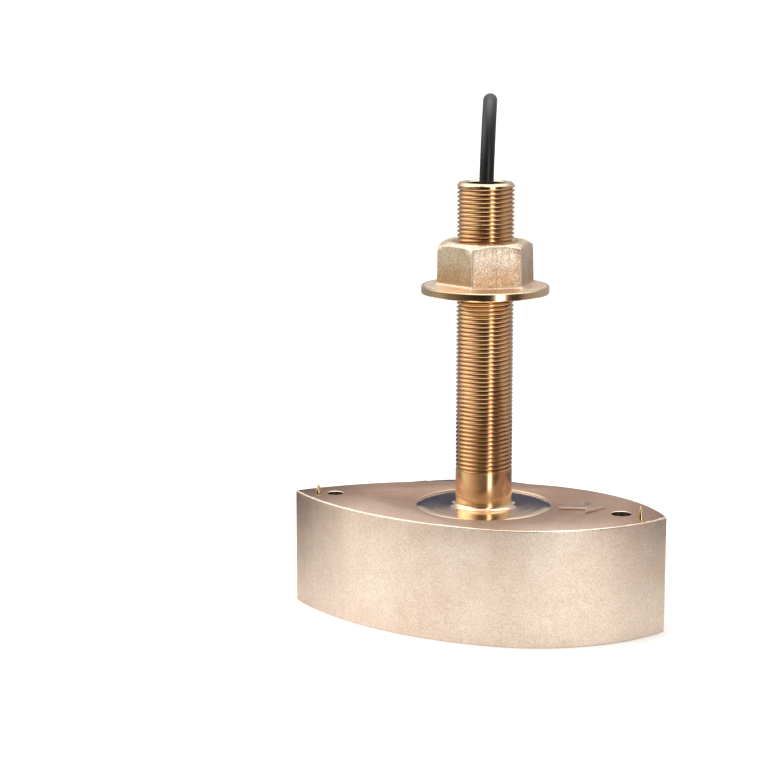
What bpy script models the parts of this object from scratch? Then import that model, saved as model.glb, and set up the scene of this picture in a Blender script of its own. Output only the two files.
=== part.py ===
"""A cast bronze through-hull sonar transducer with its hull nut, cable and connector.

Units are metres and +Z is up. The origin is at the middle of the housing's underside, and +X
points to the bow end, which is the fuller one. The stem stands a little ahead of the middle.
"""
import math

import bmesh
import bpy
from mathutils import Matrix, Vector

# Running gap between pieces that touch on the real product
GAP = 0.0003

# Housing casting
HOUSING_LENGTH = 0.194
HOUSING_WIDTH = 0.100
HOUSING_HEIGHT = 0.0587
WIDEST_AHEAD = 0.018
TIP_RADIUS = 0.0012
RIM_CHAMFER = 0.0006
WALL = 0.006
ROOF = 0.006
SOLID_TIP_AFT = 0.035
SOLID_TIP_FORE = 0.037
CAVITY_CORNER_RADIUS = 0.004

# Stem, cast on the housing and then turned: 1 1/8 inch thread
STEM_AHEAD = 0.0035
STEM_RADIUS = 0.0142875
STEM_HEIGHT = 0.163
STEM_BORE_RADIUS = 0.00975
STEM_FILLET = 0.0018
STEM_CHAMFER = 0.0012
BORE_CHAMFER = 0.0006
SPOT_FACE_RADIUS = 0.0343
SPOT_FACE_DEPTH = 0.0004

# Blind holes for the bolts that hold a fairing, near the tips
BOLT_HOLE_DEPTH = 0.025
AFT_HOLE_RADIUS = 0.004
AFT_HOLE_FROM_TIP = 0.0214
FORE_HOLE_RADIUS = 0.005
FORE_HOLE_FROM_TIP = 0.0227

# Pointed pins that stop the housing turning
PIN_RADIUS = 0.0016
PIN_DEPTH = 0.010
PIN_POINT_LENGTH = 0.0042
PIN_POINT_RADIUS = 0.0004
PIN_OGIVE_SHARE = 0.72
AFT_PIN_HEIGHT = 0.0057
AFT_PIN_FROM_TIP = 0.0142
AFT_PIN_ASIDE = -0.006
FORE_PIN_HEIGHT = 0.0075
FORE_PIN_FROM_TIP = 0.0108
FORE_PIN_ASIDE = -0.011

# Hull nut
NUT_ABOVE_HOUSING = 0.1079
NUT_HEIGHT = 0.0262
NUT_BORE_CLEARANCE = 0.0003
NUT_LEAD_CHAMFER = 0.0012
FLANGE_RADIUS = 0.032
FLANGE_RIM_HEIGHT = 0.0039
FLANGE_RIM_CHAMFER = 0.0004
FLANGE_SLOPE = 0.0011
HEX_ACROSS_FLATS = 0.0432
HEX_CORNER_RADIUS = 0.0015
HEX_FOOT_FILLET = 0.0012
HEX_TOP_ROUND = 0.0024
HEX_TOP_CONE_RADIUS = 0.0204
HEX_TOP_CONE_SLOPE = math.radians(30)

# Acoustic stack, from the underside up
WINDOW_RECESS = 0.0005
WINDOW_THICKNESS = 0.0055
DISC_COUNT = 7
DISC_FLOOR_SHARE = 0.33
DISC_WEB = 0.0016
DISC_THICKNESS = 0.010
DISC_TO_SENSOR = 0.0033
FOIL_THICKNESS = 0.0005
FOIL_HUB_RADIUS = 0.005
FOIL_ARM_WIDTH = 0.004
FOIL_ARM_OVERHANG = 0.004
PAD_THICKNESS = 0.010
LEAD_RADIUS = 0.0006
SENSOR_RADIUS = 0.003
SENSOR_LENGTH = 0.0132
SENSOR_NOSE_CHAMFER = 0.0006
SENSOR_BEHIND_BULKHEAD = 0.006

# Board, transformer and potting
BOARD_LENGTH = 0.088
BOARD_WIDTH = 0.044
BOARD_THICKNESS = 0.0016
BOARD_CORNER_CUT = 0.004
BOARD_AFT_OF_STEM = 0.0055
CORE_RADIUS = 0.01275
CORE_WALL = 0.002
CORE_FLOOR_SHARE = 0.3
POTTING_OVER_CORE = 0.005
CORE_POST_RADIUS = 0.00575
CORE_BORE_RADIUS = 0.0027
CORE_SLOT_WIDTH = 0.005
CORE_AHEAD_OF_STEM = 0.022
BOBBIN_WALL = 0.0008
STEM_POTTING_BELOW_RIM = 0.0085
STEM_POTTING_LENGTH = 0.063

# Cable, its coil and its ties
CABLE_RADIUS = 0.0037
CABLE_POINT_SPACING = 0.0163
CABLE_BESIDE_HOUSING = 0.0094
COIL_AHEAD = -0.042
COIL_BESIDE_HOUSING = 0.081
COIL_INNER_TURN = 0.024
COIL_BOTTOM_TURNS = 9
COIL_TOP_TURNS = 8
COIL_LAYERS = 3
COIL_LIFT = 0.001
TIE_THICKNESS = 0.0007
TIE_WIDTH = 0.010
TIE_BORE_CLEARANCE = 0.001
TIE_ANGLES = (-95.0, -165.0)

# Connector on the cable's end
TAIL_LEAVES_AT = -80.0
TAIL_LENGTH = 0.052
TAIL_RISES_FROM = 0.016
TAIL_LEVEL_FROM = 0.048
BOOT_LENGTH = 0.020
BOOT_TIP_RADIUS = 0.0052
BOOT_END_RADIUS = 0.0081
CONNECTOR_RADIUS = 0.009
CONNECTOR_LENGTH = 0.030
CONNECTOR_CHAMFER = 0.0008
COLLAR_RADIUS = 0.0105
COLLAR_LENGTH = 0.016
COLLAR_WALL = 0.0014
COLLAR_CHAMFER = 0.0006
INSERT_RADIUS = 0.0076
INSERT_THICKNESS = 0.002
CONTACT_RADIUS = 0.0006
CONTACT_RING_RADIUS = 0.0042
CONTACT_COUNT = 7
CONTACT_LENGTH = 0.006

# Facets round a turn
STEM_FACETS = 48
NUT_FACETS = 72
FINE_FACETS = 36
HOLE_FACETS = 24
SMALL_FACETS = 16
LEAD_FACETS = 12
COIL_FACETS = 56
TUBE_SIDES = 10
HALF_FACET = 0.5
ARC_STEPS = 14
CORNER_STEPS = 3
ROUTE_STEPS = 12
TAIL_STEPS = 4

# Places that follow from the sizes above
HALF_LENGTH = HOUSING_LENGTH / 2
CAVITY_AFT = -HALF_LENGTH + SOLID_TIP_AFT
CAVITY_FORE = HALF_LENGTH - SOLID_TIP_FORE
CAVITY_TOP = HOUSING_HEIGHT - ROOF
SPOT_FACE_Z = HOUSING_HEIGHT - SPOT_FACE_DEPTH
STEM_TOP = HOUSING_HEIGHT + STEM_HEIGHT
NUT_Z = HOUSING_HEIGHT + NUT_ABOVE_HOUSING
WINDOW_TOP = WINDOW_RECESS + WINDOW_THICKNESS
DISC_Z = WINDOW_TOP + GAP
DISC_TOP = DISC_Z + DISC_THICKNESS
FOIL_Z = DISC_TOP + GAP
PAD_Z = FOIL_Z + FOIL_THICKNESS + GAP
BOARD_Z = PAD_Z + PAD_THICKNESS + GAP
BOARD_TOP = BOARD_Z + BOARD_THICKNESS
CORE_Z = BOARD_TOP + GAP
CORE_HALF_HEIGHT = (CAVITY_TOP - POTTING_OVER_CORE - GAP - CORE_Z) / 2
CORE_FLOOR = CORE_HALF_HEIGHT * CORE_FLOOR_SHARE
CORE_SPLIT_Z = CORE_Z + CORE_HALF_HEIGHT
CORE_TOP = CORE_SPLIT_Z + GAP + CORE_HALF_HEIGHT
CHAMBER_FLOOR = (CAVITY_FORE - CAVITY_AFT) * (HOUSING_WIDTH - 2 * WALL)
DISC_RADIUS = math.sqrt(CHAMBER_FLOOR * DISC_FLOOR_SHARE / (DISC_COUNT * math.pi))
DISC_PITCH = 2 * DISC_RADIUS + DISC_WEB
SENSOR_X = CAVITY_FORE - SENSOR_BEHIND_BULKHEAD
ARRAY_X = SENSOR_X - SENSOR_RADIUS - DISC_TO_SENSOR - DISC_RADIUS - DISC_PITCH
CORE_X = STEM_AHEAD + CORE_AHEAD_OF_STEM
BOARD_X = STEM_AHEAD - BOARD_AFT_OF_STEM
STEM_POTTING_TOP = STEM_TOP - STEM_POTTING_BELOW_RIM
CABLE_DIAMETER = 2 * CABLE_RADIUS
COIL_CENTRE = (COIL_AHEAD, HOUSING_WIDTH / 2 + COIL_BESIDE_HOUSING)
LAYER_RISE = CABLE_DIAMETER * math.sqrt(3) / 2
COIL_TOP = COIL_LIFT + CABLE_DIAMETER + (COIL_LAYERS - 1) * LAYER_RISE
COIL_SHOULDER = COIL_LIFT + CABLE_DIAMETER * 0.75
COIL_BORE = COIL_INNER_TURN - CABLE_RADIUS
COIL_OUTER_TURN = COIL_INNER_TURN + (COIL_BOTTOM_TURNS - 1) * CABLE_DIAMETER
COIL_RIM = COIL_OUTER_TURN + CABLE_RADIUS
COIL_TOP_RIM = COIL_INNER_TURN + (COIL_TOP_TURNS - 1) * CABLE_DIAMETER + CABLE_RADIUS


def clear_scene():
    for item in list(bpy.data.objects):
        bpy.data.objects.remove(item, do_unlink=True)


def material(name, colour, metallic, roughness):
    finish = bpy.data.materials.new(name)
    finish.use_nodes = True
    shader = finish.node_tree.nodes["Principled BSDF"]
    shader.inputs["Base Color"].default_value = (*colour, 1.0)
    shader.inputs["Metallic"].default_value = metallic
    shader.inputs["Roughness"].default_value = roughness
    return finish


def add_object(name, shape, finish, parent=None, sharp_angle=35.0):
    """Turn a bmesh into a named object with outward faces and smooth round surfaces."""
    bmesh.ops.recalc_face_normals(shape, faces=shape.faces)
    mesh = bpy.data.meshes.new(name)
    shape.to_mesh(mesh)
    shape.free()
    mesh.shade_smooth()
    mesh.set_sharp_from_angle(angle=math.radians(sharp_angle))
    item = bpy.data.objects.new(name, mesh)
    bpy.context.scene.collection.objects.link(item)
    item.parent = parent
    if finish is not None:
        mesh.materials.append(finish)
    return item


def add_guide(name, shape):
    """A cutter or a joined shape, which is no piece of its own."""
    guide = add_object(name, shape, None)
    guide.hide_render = True
    guide.display_type = "WIRE"
    return guide


def combine(item, guide, operation):
    step = item.modifiers.new(guide.name, "BOOLEAN")
    step.solver = "EXACT"
    step.operation = operation
    step.object = guide


def loft(rings, closed=False):
    """Skin a stack of rings with as many points each; the ends are capped unless it is closed."""
    shape = bmesh.new()
    rows = [[shape.verts.new(point) for point in ring] for ring in rings]
    pairs = list(zip(rows, rows[1:]))
    if closed:
        pairs.append((rows[-1], rows[0]))
    for low, high in pairs:
        for i in range(len(low)):
            j = (i + 1) % len(low)
            shape.faces.new((low[i], low[j], high[j], high[i]))
    if not closed:
        shape.faces.new(list(reversed(rows[0])))
        shape.faces.new(rows[-1])
    return shape


def prism(outline, low, high):
    return loft([[(x, y, z) for x, y in outline] for z in (low, high)])


def circle(radius, facets, centre=(0.0, 0.0), start=0.0):
    """Points round a circle; start turns the first one off the X axis, as a share of a facet."""
    turn = 2 * math.pi / facets
    angles = [(i + start) * turn for i in range(facets)]
    return [(centre[0] + radius * math.cos(a), centre[1] + radius * math.sin(a)) for a in angles]


def cylinder(radius, low, high, facets, centre=(0.0, 0.0), start=0.0):
    return prism(circle(radius, facets, centre, start), low, high)


def turned(profile, facets, centre=(0.0, 0.0), closed=False):
    """Turn a profile of (radius, height) points round a vertical axis."""
    rings = [
        [(x, y, height) for x, y in circle(radius, facets, centre)]
        for radius, height in profile
    ]
    return loft(rings, closed)


def side_arc_radius(reach):
    """The radius of a side's arc, tangent to the rounded tip and level at the widest section."""
    half = HOUSING_WIDTH / 2
    run = reach - TIP_RADIUS
    return (run**2 + half**2 - TIP_RADIUS**2) / (2 * (half - TIP_RADIUS))


AFT_ARC = side_arc_radius(HALF_LENGTH + WIDEST_AHEAD)
FORE_ARC = side_arc_radius(HALF_LENGTH - WIDEST_AHEAD)


def half_width(x, inset=0.0):
    """Half the housing's width at x, measured to an outline set in by this much."""
    arc = AFT_ARC if x < WIDEST_AHEAD else FORE_ARC
    centre = HOUSING_WIDTH / 2 - arc
    return centre + math.sqrt((arc - inset) ** 2 - (x - WIDEST_AHEAD) ** 2)


def tip_arc(centre_x, arc_radius, radius, steps=4):
    """Points round a tip, from the starboard side to the port side."""
    drop = arc_radius - HOUSING_WIDTH / 2
    lean = math.atan2(drop, abs(centre_x - WIDEST_AHEAD))
    sign = 1.0 if centre_x > 0 else -1.0
    points = []
    for i in range(steps + 1):
        angle = lean * (2 * i / steps - 1)
        points.append((centre_x + sign * radius * math.cos(angle), radius * math.sin(angle)))
    return points


def housing_outline(inset=0.0):
    """The pointed oval seen from above, anticlockwise, with rounded tips."""
    fore_x = HALF_LENGTH - TIP_RADIUS
    aft_x = -fore_x
    radius = TIP_RADIUS - inset
    fore = tip_arc(fore_x, FORE_ARC, radius)
    aft = tip_arc(aft_x, AFT_ARC, radius)
    port = []
    for start, end in ((fore[-1][0], WIDEST_AHEAD), (WIDEST_AHEAD, aft[-1][0])):
        for i in range(1, ARC_STEPS + 1):
            x = start + (end - start) * math.sin(0.5 * math.pi * i / ARC_STEPS)
            if start == WIDEST_AHEAD:
                x = start + (end - start) * (1 - math.cos(0.5 * math.pi * i / ARC_STEPS))
            port.append((x, half_width(x, inset)))
    port = port[:-1]
    starboard = [(x, -y) for x, y in reversed(port)]
    return fore + port + list(reversed(aft)) + starboard


def cavity_outline(inset=0.0):
    """The chamber's outline: the wall's inside, cut square by the two solid tips."""
    aft = CAVITY_AFT + inset
    fore = CAVITY_FORE - inset
    port = []
    for i in range(ARC_STEPS + 1):
        x = fore + (aft - fore) * i / ARC_STEPS
        port.append((x, half_width(x, WALL + inset)))
    return port + [(x, -y) for x, y in reversed(port)]


def chamber_block(inset, low, high):
    """A prism that fits the chamber, with its four upright corners rounded."""
    shape = prism(cavity_outline(inset), low, high)
    ends = (CAVITY_AFT + inset, CAVITY_FORE - inset)
    corners = [
        edge
        for edge in shape.edges
        if abs(edge.verts[0].co.z - edge.verts[1].co.z) > (high - low) / 2
        and min(abs(edge.verts[0].co.x - end) for end in ends) < GAP / 10
    ]
    bmesh.ops.bevel(
        shape,
        geom=corners,
        offset=CAVITY_CORNER_RADIUS - inset,
        segments=CORNER_STEPS,
        profile=0.5,
        affect="EDGES",
    )
    return shape


def array_places():
    """Where the discs stand: one in the middle and six round it."""
    places = [(ARRAY_X, 0.0)]
    for k in range(DISC_COUNT - 1):
        angle = 2 * math.pi * k / (DISC_COUNT - 1)
        places.append((ARRAY_X + DISC_PITCH * math.cos(angle), DISC_PITCH * math.sin(angle)))
    return places


def ground_lead_place():
    """The gap between three neighbouring discs."""
    reach = DISC_PITCH / math.sqrt(3)
    angle = math.radians(30)
    return (ARRAY_X + reach * math.cos(angle), reach * math.sin(angle))


def pin_places():
    return (
        ("pin_aft", (-HALF_LENGTH + AFT_PIN_FROM_TIP, AFT_PIN_ASIDE), AFT_PIN_HEIGHT),
        ("pin_fore", (HALF_LENGTH - FORE_PIN_FROM_TIP, FORE_PIN_ASIDE), FORE_PIN_HEIGHT),
    )


def stem_profile():
    """The stem's outside, from inside the roof up to its chamfered top, and its fillet."""
    profile = [(STEM_RADIUS + STEM_FILLET, SPOT_FACE_Z - ROOF / 2)]
    for i in range(CORNER_STEPS + 1):
        angle = math.radians(90 * i / CORNER_STEPS)
        radius = STEM_RADIUS + STEM_FILLET * (1 - math.sin(angle))
        height = SPOT_FACE_Z + STEM_FILLET * (1 - math.cos(angle))
        profile.append((radius, height))
    profile.append((STEM_RADIUS, STEM_TOP - STEM_CHAMFER))
    profile.append((STEM_RADIUS - STEM_CHAMFER, STEM_TOP))
    return profile


def bore_profile():
    spare = BORE_CHAMFER
    return [
        (STEM_BORE_RADIUS, CAVITY_TOP - spare),
        (STEM_BORE_RADIUS, STEM_TOP - BORE_CHAMFER),
        (STEM_BORE_RADIUS + BORE_CHAMFER + spare, STEM_TOP + spare),
    ]


def build_housing(bronze):
    rim = [
        [(x, y, 0.0) for x, y in housing_outline()],
        [(x, y, HOUSING_HEIGHT - RIM_CHAMFER) for x, y in housing_outline()],
        [(x, y, HOUSING_HEIGHT) for x, y in housing_outline(RIM_CHAMFER)],
    ]
    housing = add_object("housing", loft(rim), bronze)
    axis = (STEM_AHEAD, 0.0)
    spot = cylinder(SPOT_FACE_RADIUS, SPOT_FACE_Z, HOUSING_HEIGHT + ROOF, STEM_FACETS, axis)
    combine(housing, add_guide("cut_spot_face", spot), "DIFFERENCE")
    combine(housing, add_guide("add_stem", turned(stem_profile(), STEM_FACETS, axis)), "UNION")
    chamber = chamber_block(0.0, -ROOF, CAVITY_TOP)
    combine(housing, add_guide("cut_chamber", chamber), "DIFFERENCE")
    bore = turned(bore_profile(), FINE_FACETS, axis)
    combine(housing, add_guide("cut_bore", bore), "DIFFERENCE")
    floor = HOUSING_HEIGHT - BOLT_HOLE_DEPTH
    above = HOUSING_HEIGHT + ROOF
    holes = (
        ("cut_aft_hole", AFT_HOLE_RADIUS, -HALF_LENGTH + AFT_HOLE_FROM_TIP),
        ("cut_fore_hole", FORE_HOLE_RADIUS, HALF_LENGTH - FORE_HOLE_FROM_TIP),
    )
    for name, radius, x in holes:
        hole = cylinder(radius, floor, above, HOLE_FACETS, (x, 0.0))
        combine(housing, add_guide(name, hole), "DIFFERENCE")
    for name, place, _ in pin_places():
        depth = HOUSING_HEIGHT - PIN_DEPTH - GAP
        hole = cylinder(PIN_RADIUS + GAP, depth, above, SMALL_FACETS, place)
        combine(housing, add_guide("cut_" + name, hole), "DIFFERENCE")
    return housing


def build_pins(bright_bronze):
    for name, place, height in pin_places():
        foot = HOUSING_HEIGHT - PIN_DEPTH
        tip = HOUSING_HEIGHT + height
        profile = [
            (PIN_RADIUS, foot),
            (PIN_RADIUS, tip - PIN_POINT_LENGTH),
            (PIN_RADIUS * PIN_OGIVE_SHARE, tip - PIN_POINT_LENGTH / 2),
            (PIN_POINT_RADIUS, tip),
        ]
        add_object(name, turned(profile, SMALL_FACETS, place), bright_bronze)


def hex_ring(flats, height, widest=math.inf):
    """A hexagon with rounded corners about the nut's axis, turned down to the widest radius."""
    apothem = flats / 2
    corner = (apothem - HEX_CORNER_RADIUS) / math.cos(math.pi / 6)
    ring = []
    for i in range(NUT_FACETS):
        angle = 2 * math.pi * i / NUT_FACETS
        off_flat = (angle + math.pi / 6) % (math.pi / 3) - math.pi / 6
        radius = apothem / math.cos(off_flat)
        off_corner = math.pi / 6 - abs(off_flat)
        reach = HEX_CORNER_RADIUS**2 - (corner * math.sin(off_corner)) ** 2
        if reach > 0:
            radius = min(radius, corner * math.cos(off_corner) + math.sqrt(reach))
        radius = min(radius, widest)
        ring.append((radius * math.cos(angle), radius * math.sin(angle), height))
    return ring


def build_nut(bronze):
    """The hull nut, in its own frame: its flange's seating face is at height 0."""
    bore = STEM_RADIUS + NUT_BORE_CLEARANCE

    def ring(radius, height):
        return [(x, y, height) for x, y in circle(radius, NUT_FACETS)]

    rim_top = FLANGE_RIM_HEIGHT
    hex_foot = rim_top + FLANGE_SLOPE
    rings = [
        ring(bore + NUT_LEAD_CHAMFER, 0.0),
        ring(FLANGE_RADIUS - FLANGE_RIM_CHAMFER, 0.0),
        ring(FLANGE_RADIUS, FLANGE_RIM_CHAMFER),
        ring(FLANGE_RADIUS, rim_top - FLANGE_RIM_CHAMFER),
        ring(FLANGE_RADIUS - FLANGE_RIM_CHAMFER, rim_top),
        hex_ring(HEX_ACROSS_FLATS + 2 * HEX_FOOT_FILLET, hex_foot),
        hex_ring(HEX_ACROSS_FLATS, hex_foot + HEX_FOOT_FILLET),
    ]
    for i in range(CORNER_STEPS + 1):
        angle = math.radians(90 * i / CORNER_STEPS)
        inset = HEX_TOP_ROUND * (1 - math.cos(angle))
        drop = HEX_TOP_ROUND * (1 - math.sin(angle))
        cone = HEX_TOP_CONE_RADIUS + drop / math.tan(HEX_TOP_CONE_SLOPE)
        rings.append(hex_ring(HEX_ACROSS_FLATS - 2 * inset, NUT_HEIGHT - drop, cone))
    rings.append(ring(bore + NUT_LEAD_CHAMFER, NUT_HEIGHT))
    rings.append(ring(bore, NUT_HEIGHT - NUT_LEAD_CHAMFER))
    rings.append(ring(bore, NUT_LEAD_CHAMFER))
    nut_axis = bpy.data.objects.new("hull_nut_axis", None)
    bpy.context.scene.collection.objects.link(nut_axis)
    nut_axis.location = (STEM_AHEAD, 0.0, NUT_Z)
    return add_object("hull_nut", loft(rings, closed=True), bronze, nut_axis)


def star_outline():
    """The contact foil: a hub with an arm out to each disc of the ring."""
    half = FOIL_ARM_WIDTH / 2
    reach = DISC_PITCH + FOIL_ARM_OVERHANG
    root = math.sqrt(FOIL_HUB_RADIUS**2 - half**2)
    outline = []
    arms = DISC_COUNT - 1
    for k in range(arms):
        angle = 2 * math.pi * k / arms
        along = Vector((math.cos(angle), math.sin(angle)))
        across = Vector((-along.y, along.x))
        for run, side in ((root, -half), (reach, -half), (reach, half), (root, half)):
            point = along * run + across * side
            outline.append((ARRAY_X + point.x, point.y))
    return outline


def build_acoustic_stack(urethane, ceramic, cork, foil, foam, steel):
    sensor_place = (SENSOR_X, 0.0)
    window = add_object("acoustic_window", chamber_block(GAP, WINDOW_RECESS, WINDOW_TOP), urethane)
    tray = add_object("element_tray", chamber_block(GAP, DISC_Z, DISC_TOP), cork)
    pad_top = PAD_Z + PAD_THICKNESS
    pad = add_object("backing_pad", chamber_block(GAP, PAD_Z, pad_top), foam)
    sensor_hole = cylinder(SENSOR_RADIUS + GAP, -ROOF, PAD_Z - GAP / 2, SMALL_FACETS, sensor_place)
    sensor_guide = add_guide("cut_sensor", sensor_hole)
    combine(window, sensor_guide, "DIFFERENCE")
    combine(tray, sensor_guide, "DIFFERENCE")
    for k, place in enumerate(array_places()):
        disc = cylinder(DISC_RADIUS, DISC_Z, DISC_TOP, FINE_FACETS, place, HALF_FACET)
        add_object(f"ceramic_disc_{k + 1}", disc, ceramic)
        seat = cylinder(DISC_RADIUS + GAP, 0.0, BOARD_TOP, FINE_FACETS, place, HALF_FACET)
        combine(tray, add_guide(f"cut_disc_{k + 1}", seat), "DIFFERENCE")
    add_object("contact_foil", prism(star_outline(), FOIL_Z, FOIL_Z + FOIL_THICKNESS), foil)
    leads = (
        ("lead_live", (ARRAY_X, 0.0), FOIL_Z + FOIL_THICKNESS + GAP),
        ("lead_ground", ground_lead_place(), DISC_Z),
    )
    for name, place, low in leads:
        lead = cylinder(LEAD_RADIUS, low, BOARD_Z - GAP, LEAD_FACETS, place)
        add_object(name, lead, foil)
        way = cylinder(LEAD_RADIUS + GAP, WINDOW_TOP, BOARD_TOP, LEAD_FACETS, place)
        guide = add_guide("cut_" + name, way)
        combine(pad, guide, "DIFFERENCE")
        if name == "lead_ground":
            combine(tray, guide, "DIFFERENCE")
    nose = WINDOW_RECESS + GAP
    sensor = [
        (SENSOR_RADIUS - SENSOR_NOSE_CHAMFER, nose),
        (SENSOR_RADIUS, nose + SENSOR_NOSE_CHAMFER),
        (SENSOR_RADIUS, nose + SENSOR_LENGTH),
    ]
    add_object("temperature_sensor", turned(sensor, SMALL_FACETS, sensor_place), steel)


def board_outline(spare=0.0):
    along = BOARD_LENGTH / 2 + spare
    across = BOARD_WIDTH / 2 + spare
    cut = BOARD_CORNER_CUT
    return [
        (BOARD_X - along, -across + cut),
        (BOARD_X - along + cut, -across),
        (BOARD_X + along - cut, -across),
        (BOARD_X + along, -across + cut),
        (BOARD_X + along, across - cut),
        (BOARD_X + along - cut, across),
        (BOARD_X - along + cut, across),
        (BOARD_X - along, across - cut),
    ]


def core_half(upward):
    """Half a pot core: an outer wall, a centre post and a floor, turned in one piece."""
    wall = CORE_RADIUS - CORE_WALL
    profile = [
        (CORE_BORE_RADIUS, 0.0),
        (CORE_RADIUS, 0.0),
        (CORE_RADIUS, CORE_HALF_HEIGHT),
        (wall, CORE_HALF_HEIGHT),
        (wall, CORE_FLOOR),
        (CORE_POST_RADIUS, CORE_FLOOR),
        (CORE_POST_RADIUS, CORE_HALF_HEIGHT),
        (CORE_BORE_RADIUS, CORE_HALF_HEIGHT),
    ]
    if upward:
        return [(radius, CORE_Z + height) for radius, height in profile]
    return [(radius, CORE_TOP - height) for radius, height in profile]


def build_electronics(laminate, ferrite, nylon, copper, epoxy):
    place = (CORE_X, 0.0)
    add_object("circuit_board", prism(board_outline(), BOARD_Z, BOARD_TOP), laminate)
    slot_out = CORE_RADIUS * 2
    slot_half = CORE_SLOT_WIDTH / 2
    slot_in = CORE_POST_RADIUS + GAP
    slot_outline = [
        (CORE_X + side * slot_out, across * slot_half)
        for side, across in ((-1, -1), (1, -1), (1, 1), (-1, 1))
    ]
    slot_low = CORE_Z + CORE_FLOOR
    slot_high = CORE_TOP - CORE_FLOOR
    slot = add_guide("cut_core_slots", prism(slot_outline, slot_low, slot_high))
    keep_post = cylinder(slot_in, slot_low - GAP, slot_high + GAP, FINE_FACETS, place)
    combine(slot, add_guide("keep_core_post", keep_post), "DIFFERENCE")
    for name, upward in (("transformer_core_lower", True), ("transformer_core_upper", False)):
        shape = turned(core_half(upward), FINE_FACETS, place, closed=True)
        combine(add_object(name, shape, ferrite), slot, "DIFFERENCE")
    tube_in = CORE_POST_RADIUS + GAP
    tube_out = tube_in + BOBBIN_WALL
    cheek_out = CORE_RADIUS - CORE_WALL - GAP
    low = CORE_Z + CORE_FLOOR + GAP
    high = CORE_TOP - CORE_FLOOR - GAP
    bobbin = [
        (tube_in, low),
        (cheek_out, low),
        (cheek_out, low + BOBBIN_WALL),
        (tube_out, low + BOBBIN_WALL),
        (tube_out, high - BOBBIN_WALL),
        (cheek_out, high - BOBBIN_WALL),
        (cheek_out, high),
        (tube_in, high),
    ]
    add_object("transformer_bobbin", turned(bobbin, FINE_FACETS, place, closed=True), nylon)
    coil_low = low + BOBBIN_WALL + GAP
    coil_high = high - BOBBIN_WALL - GAP
    coil_in = tube_out + GAP
    winding = [
        (coil_in, coil_low),
        (cheek_out - GAP, coil_low),
        (cheek_out - GAP, coil_high),
        (coil_in, coil_high),
    ]
    add_object("transformer_winding", turned(winding, FINE_FACETS, place, closed=True), copper)
    potting = add_object("potting_block", chamber_block(GAP, BOARD_Z, CAVITY_TOP - GAP), epoxy)
    pockets = (
        ("cut_board", prism(board_outline(GAP), PAD_Z, BOARD_TOP + GAP / 2)),
        ("cut_core", cylinder(CORE_RADIUS + GAP, PAD_Z, CORE_TOP + GAP, FINE_FACETS, place)),
    )
    for name, shape in pockets:
        combine(potting, add_guide(name, shape), "DIFFERENCE")
    axis = (STEM_AHEAD, 0.0)
    way = cylinder(CABLE_RADIUS + GAP, PAD_Z, STEM_TOP, SMALL_FACETS, axis)
    combine(potting, add_guide("cut_cable_way", way), "DIFFERENCE")
    plug = [
        (CABLE_RADIUS + GAP, STEM_POTTING_TOP - STEM_POTTING_LENGTH),
        (STEM_BORE_RADIUS - GAP, STEM_POTTING_TOP - STEM_POTTING_LENGTH),
        (STEM_BORE_RADIUS - GAP, STEM_POTTING_TOP),
        (CABLE_RADIUS + GAP, STEM_POTTING_TOP),
    ]
    add_object("stem_potting", turned(plug, FINE_FACETS, axis, closed=True), epoxy)


# The cable's route after it leaves the potting. The loop lies in the upright plane that runs back
# and to port of the stem. Each point is its share of the loop's reach, its distance aside of the
# plane, and its height over the stem's top.
LOOP_HEADING = (-0.2534, 0.9674)
LOOP_REACH = (HOUSING_WIDTH / 2 + CABLE_BESIDE_HOUSING) / LOOP_HEADING[1]
LOOP_ROUTE = (
    (0.000, 0.0003, 0.0030),
    (0.010, 0.0006, 0.0130),
    (0.073, 0.0010, 0.0235),
    (0.204, 0.0014, 0.0325),
    (0.375, 0.0017, 0.0372),
    (0.562, 0.0018, 0.0378),
    (0.741, 0.0017, 0.0332),
    (0.884, 0.0013, 0.0245),
    (0.969, 0.0008, 0.0125),
    (0.997, 0.0003, -0.0040),
    (1.000, 0.0000, -0.0300),
)
HANGING_POINTS = 4
# The landing on the coil: distance along the floor from where the cable comes down, and its height
# over the coil.
LANDING_HEADING = (0.838, 0.544)
LANDING_ROUTE = (
    (0.0010, 0.0398),
    (0.0050, 0.0258),
    (0.0130, 0.0143),
    (0.0240, 0.0070),
)
# Across the coil's top, inwards: angle about its centre in degrees, and radius.
CROSSING_ROUTE = (
    (-42.0, 0.0770),
    (-26.0, 0.0715),
    (-8.0, 0.0645),
    (12.0, 0.0565),
    (34.0, 0.0480),
    (58.0, 0.0400),
    (84.0, 0.0335),
    (106.0, 0.0285),
)


def coil_point(angle, radius, height):
    turn = math.radians(angle)
    return Vector(
        (
            COIL_CENTRE[0] + radius * math.cos(turn),
            COIL_CENTRE[1] + radius * math.sin(turn),
            height,
        )
    )


def cable_route():
    back = Vector((*LOOP_HEADING, 0.0))
    aside = Vector((LOOP_HEADING[1], -LOOP_HEADING[0], 0.0))
    stem = Vector((STEM_AHEAD, 0.0, STEM_TOP))
    route = [Vector((STEM_AHEAD, 0.0, STEM_POTTING_TOP + GAP))]
    for share, across, up in LOOP_ROUTE:
        route.append(stem + back * share * LOOP_REACH + aside * across + Vector((0.0, 0.0, up)))
    foot = Vector((route[-1].x, route[-1].y, COIL_TOP))
    heading = Vector((*LANDING_HEADING, 0.0))
    landing = [foot + heading * run + Vector((0.0, 0.0, up)) for run, up in LANDING_ROUTE]
    hang_top = route[-1]
    for k in range(1, HANGING_POINTS):
        route.append(hang_top.lerp(landing[0], k / HANGING_POINTS))
    route.extend(landing)
    over = COIL_TOP + GAP + CABLE_RADIUS
    for angle, radius in CROSSING_ROUTE:
        route.append(coil_point(angle, radius, over))
    return route


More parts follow.
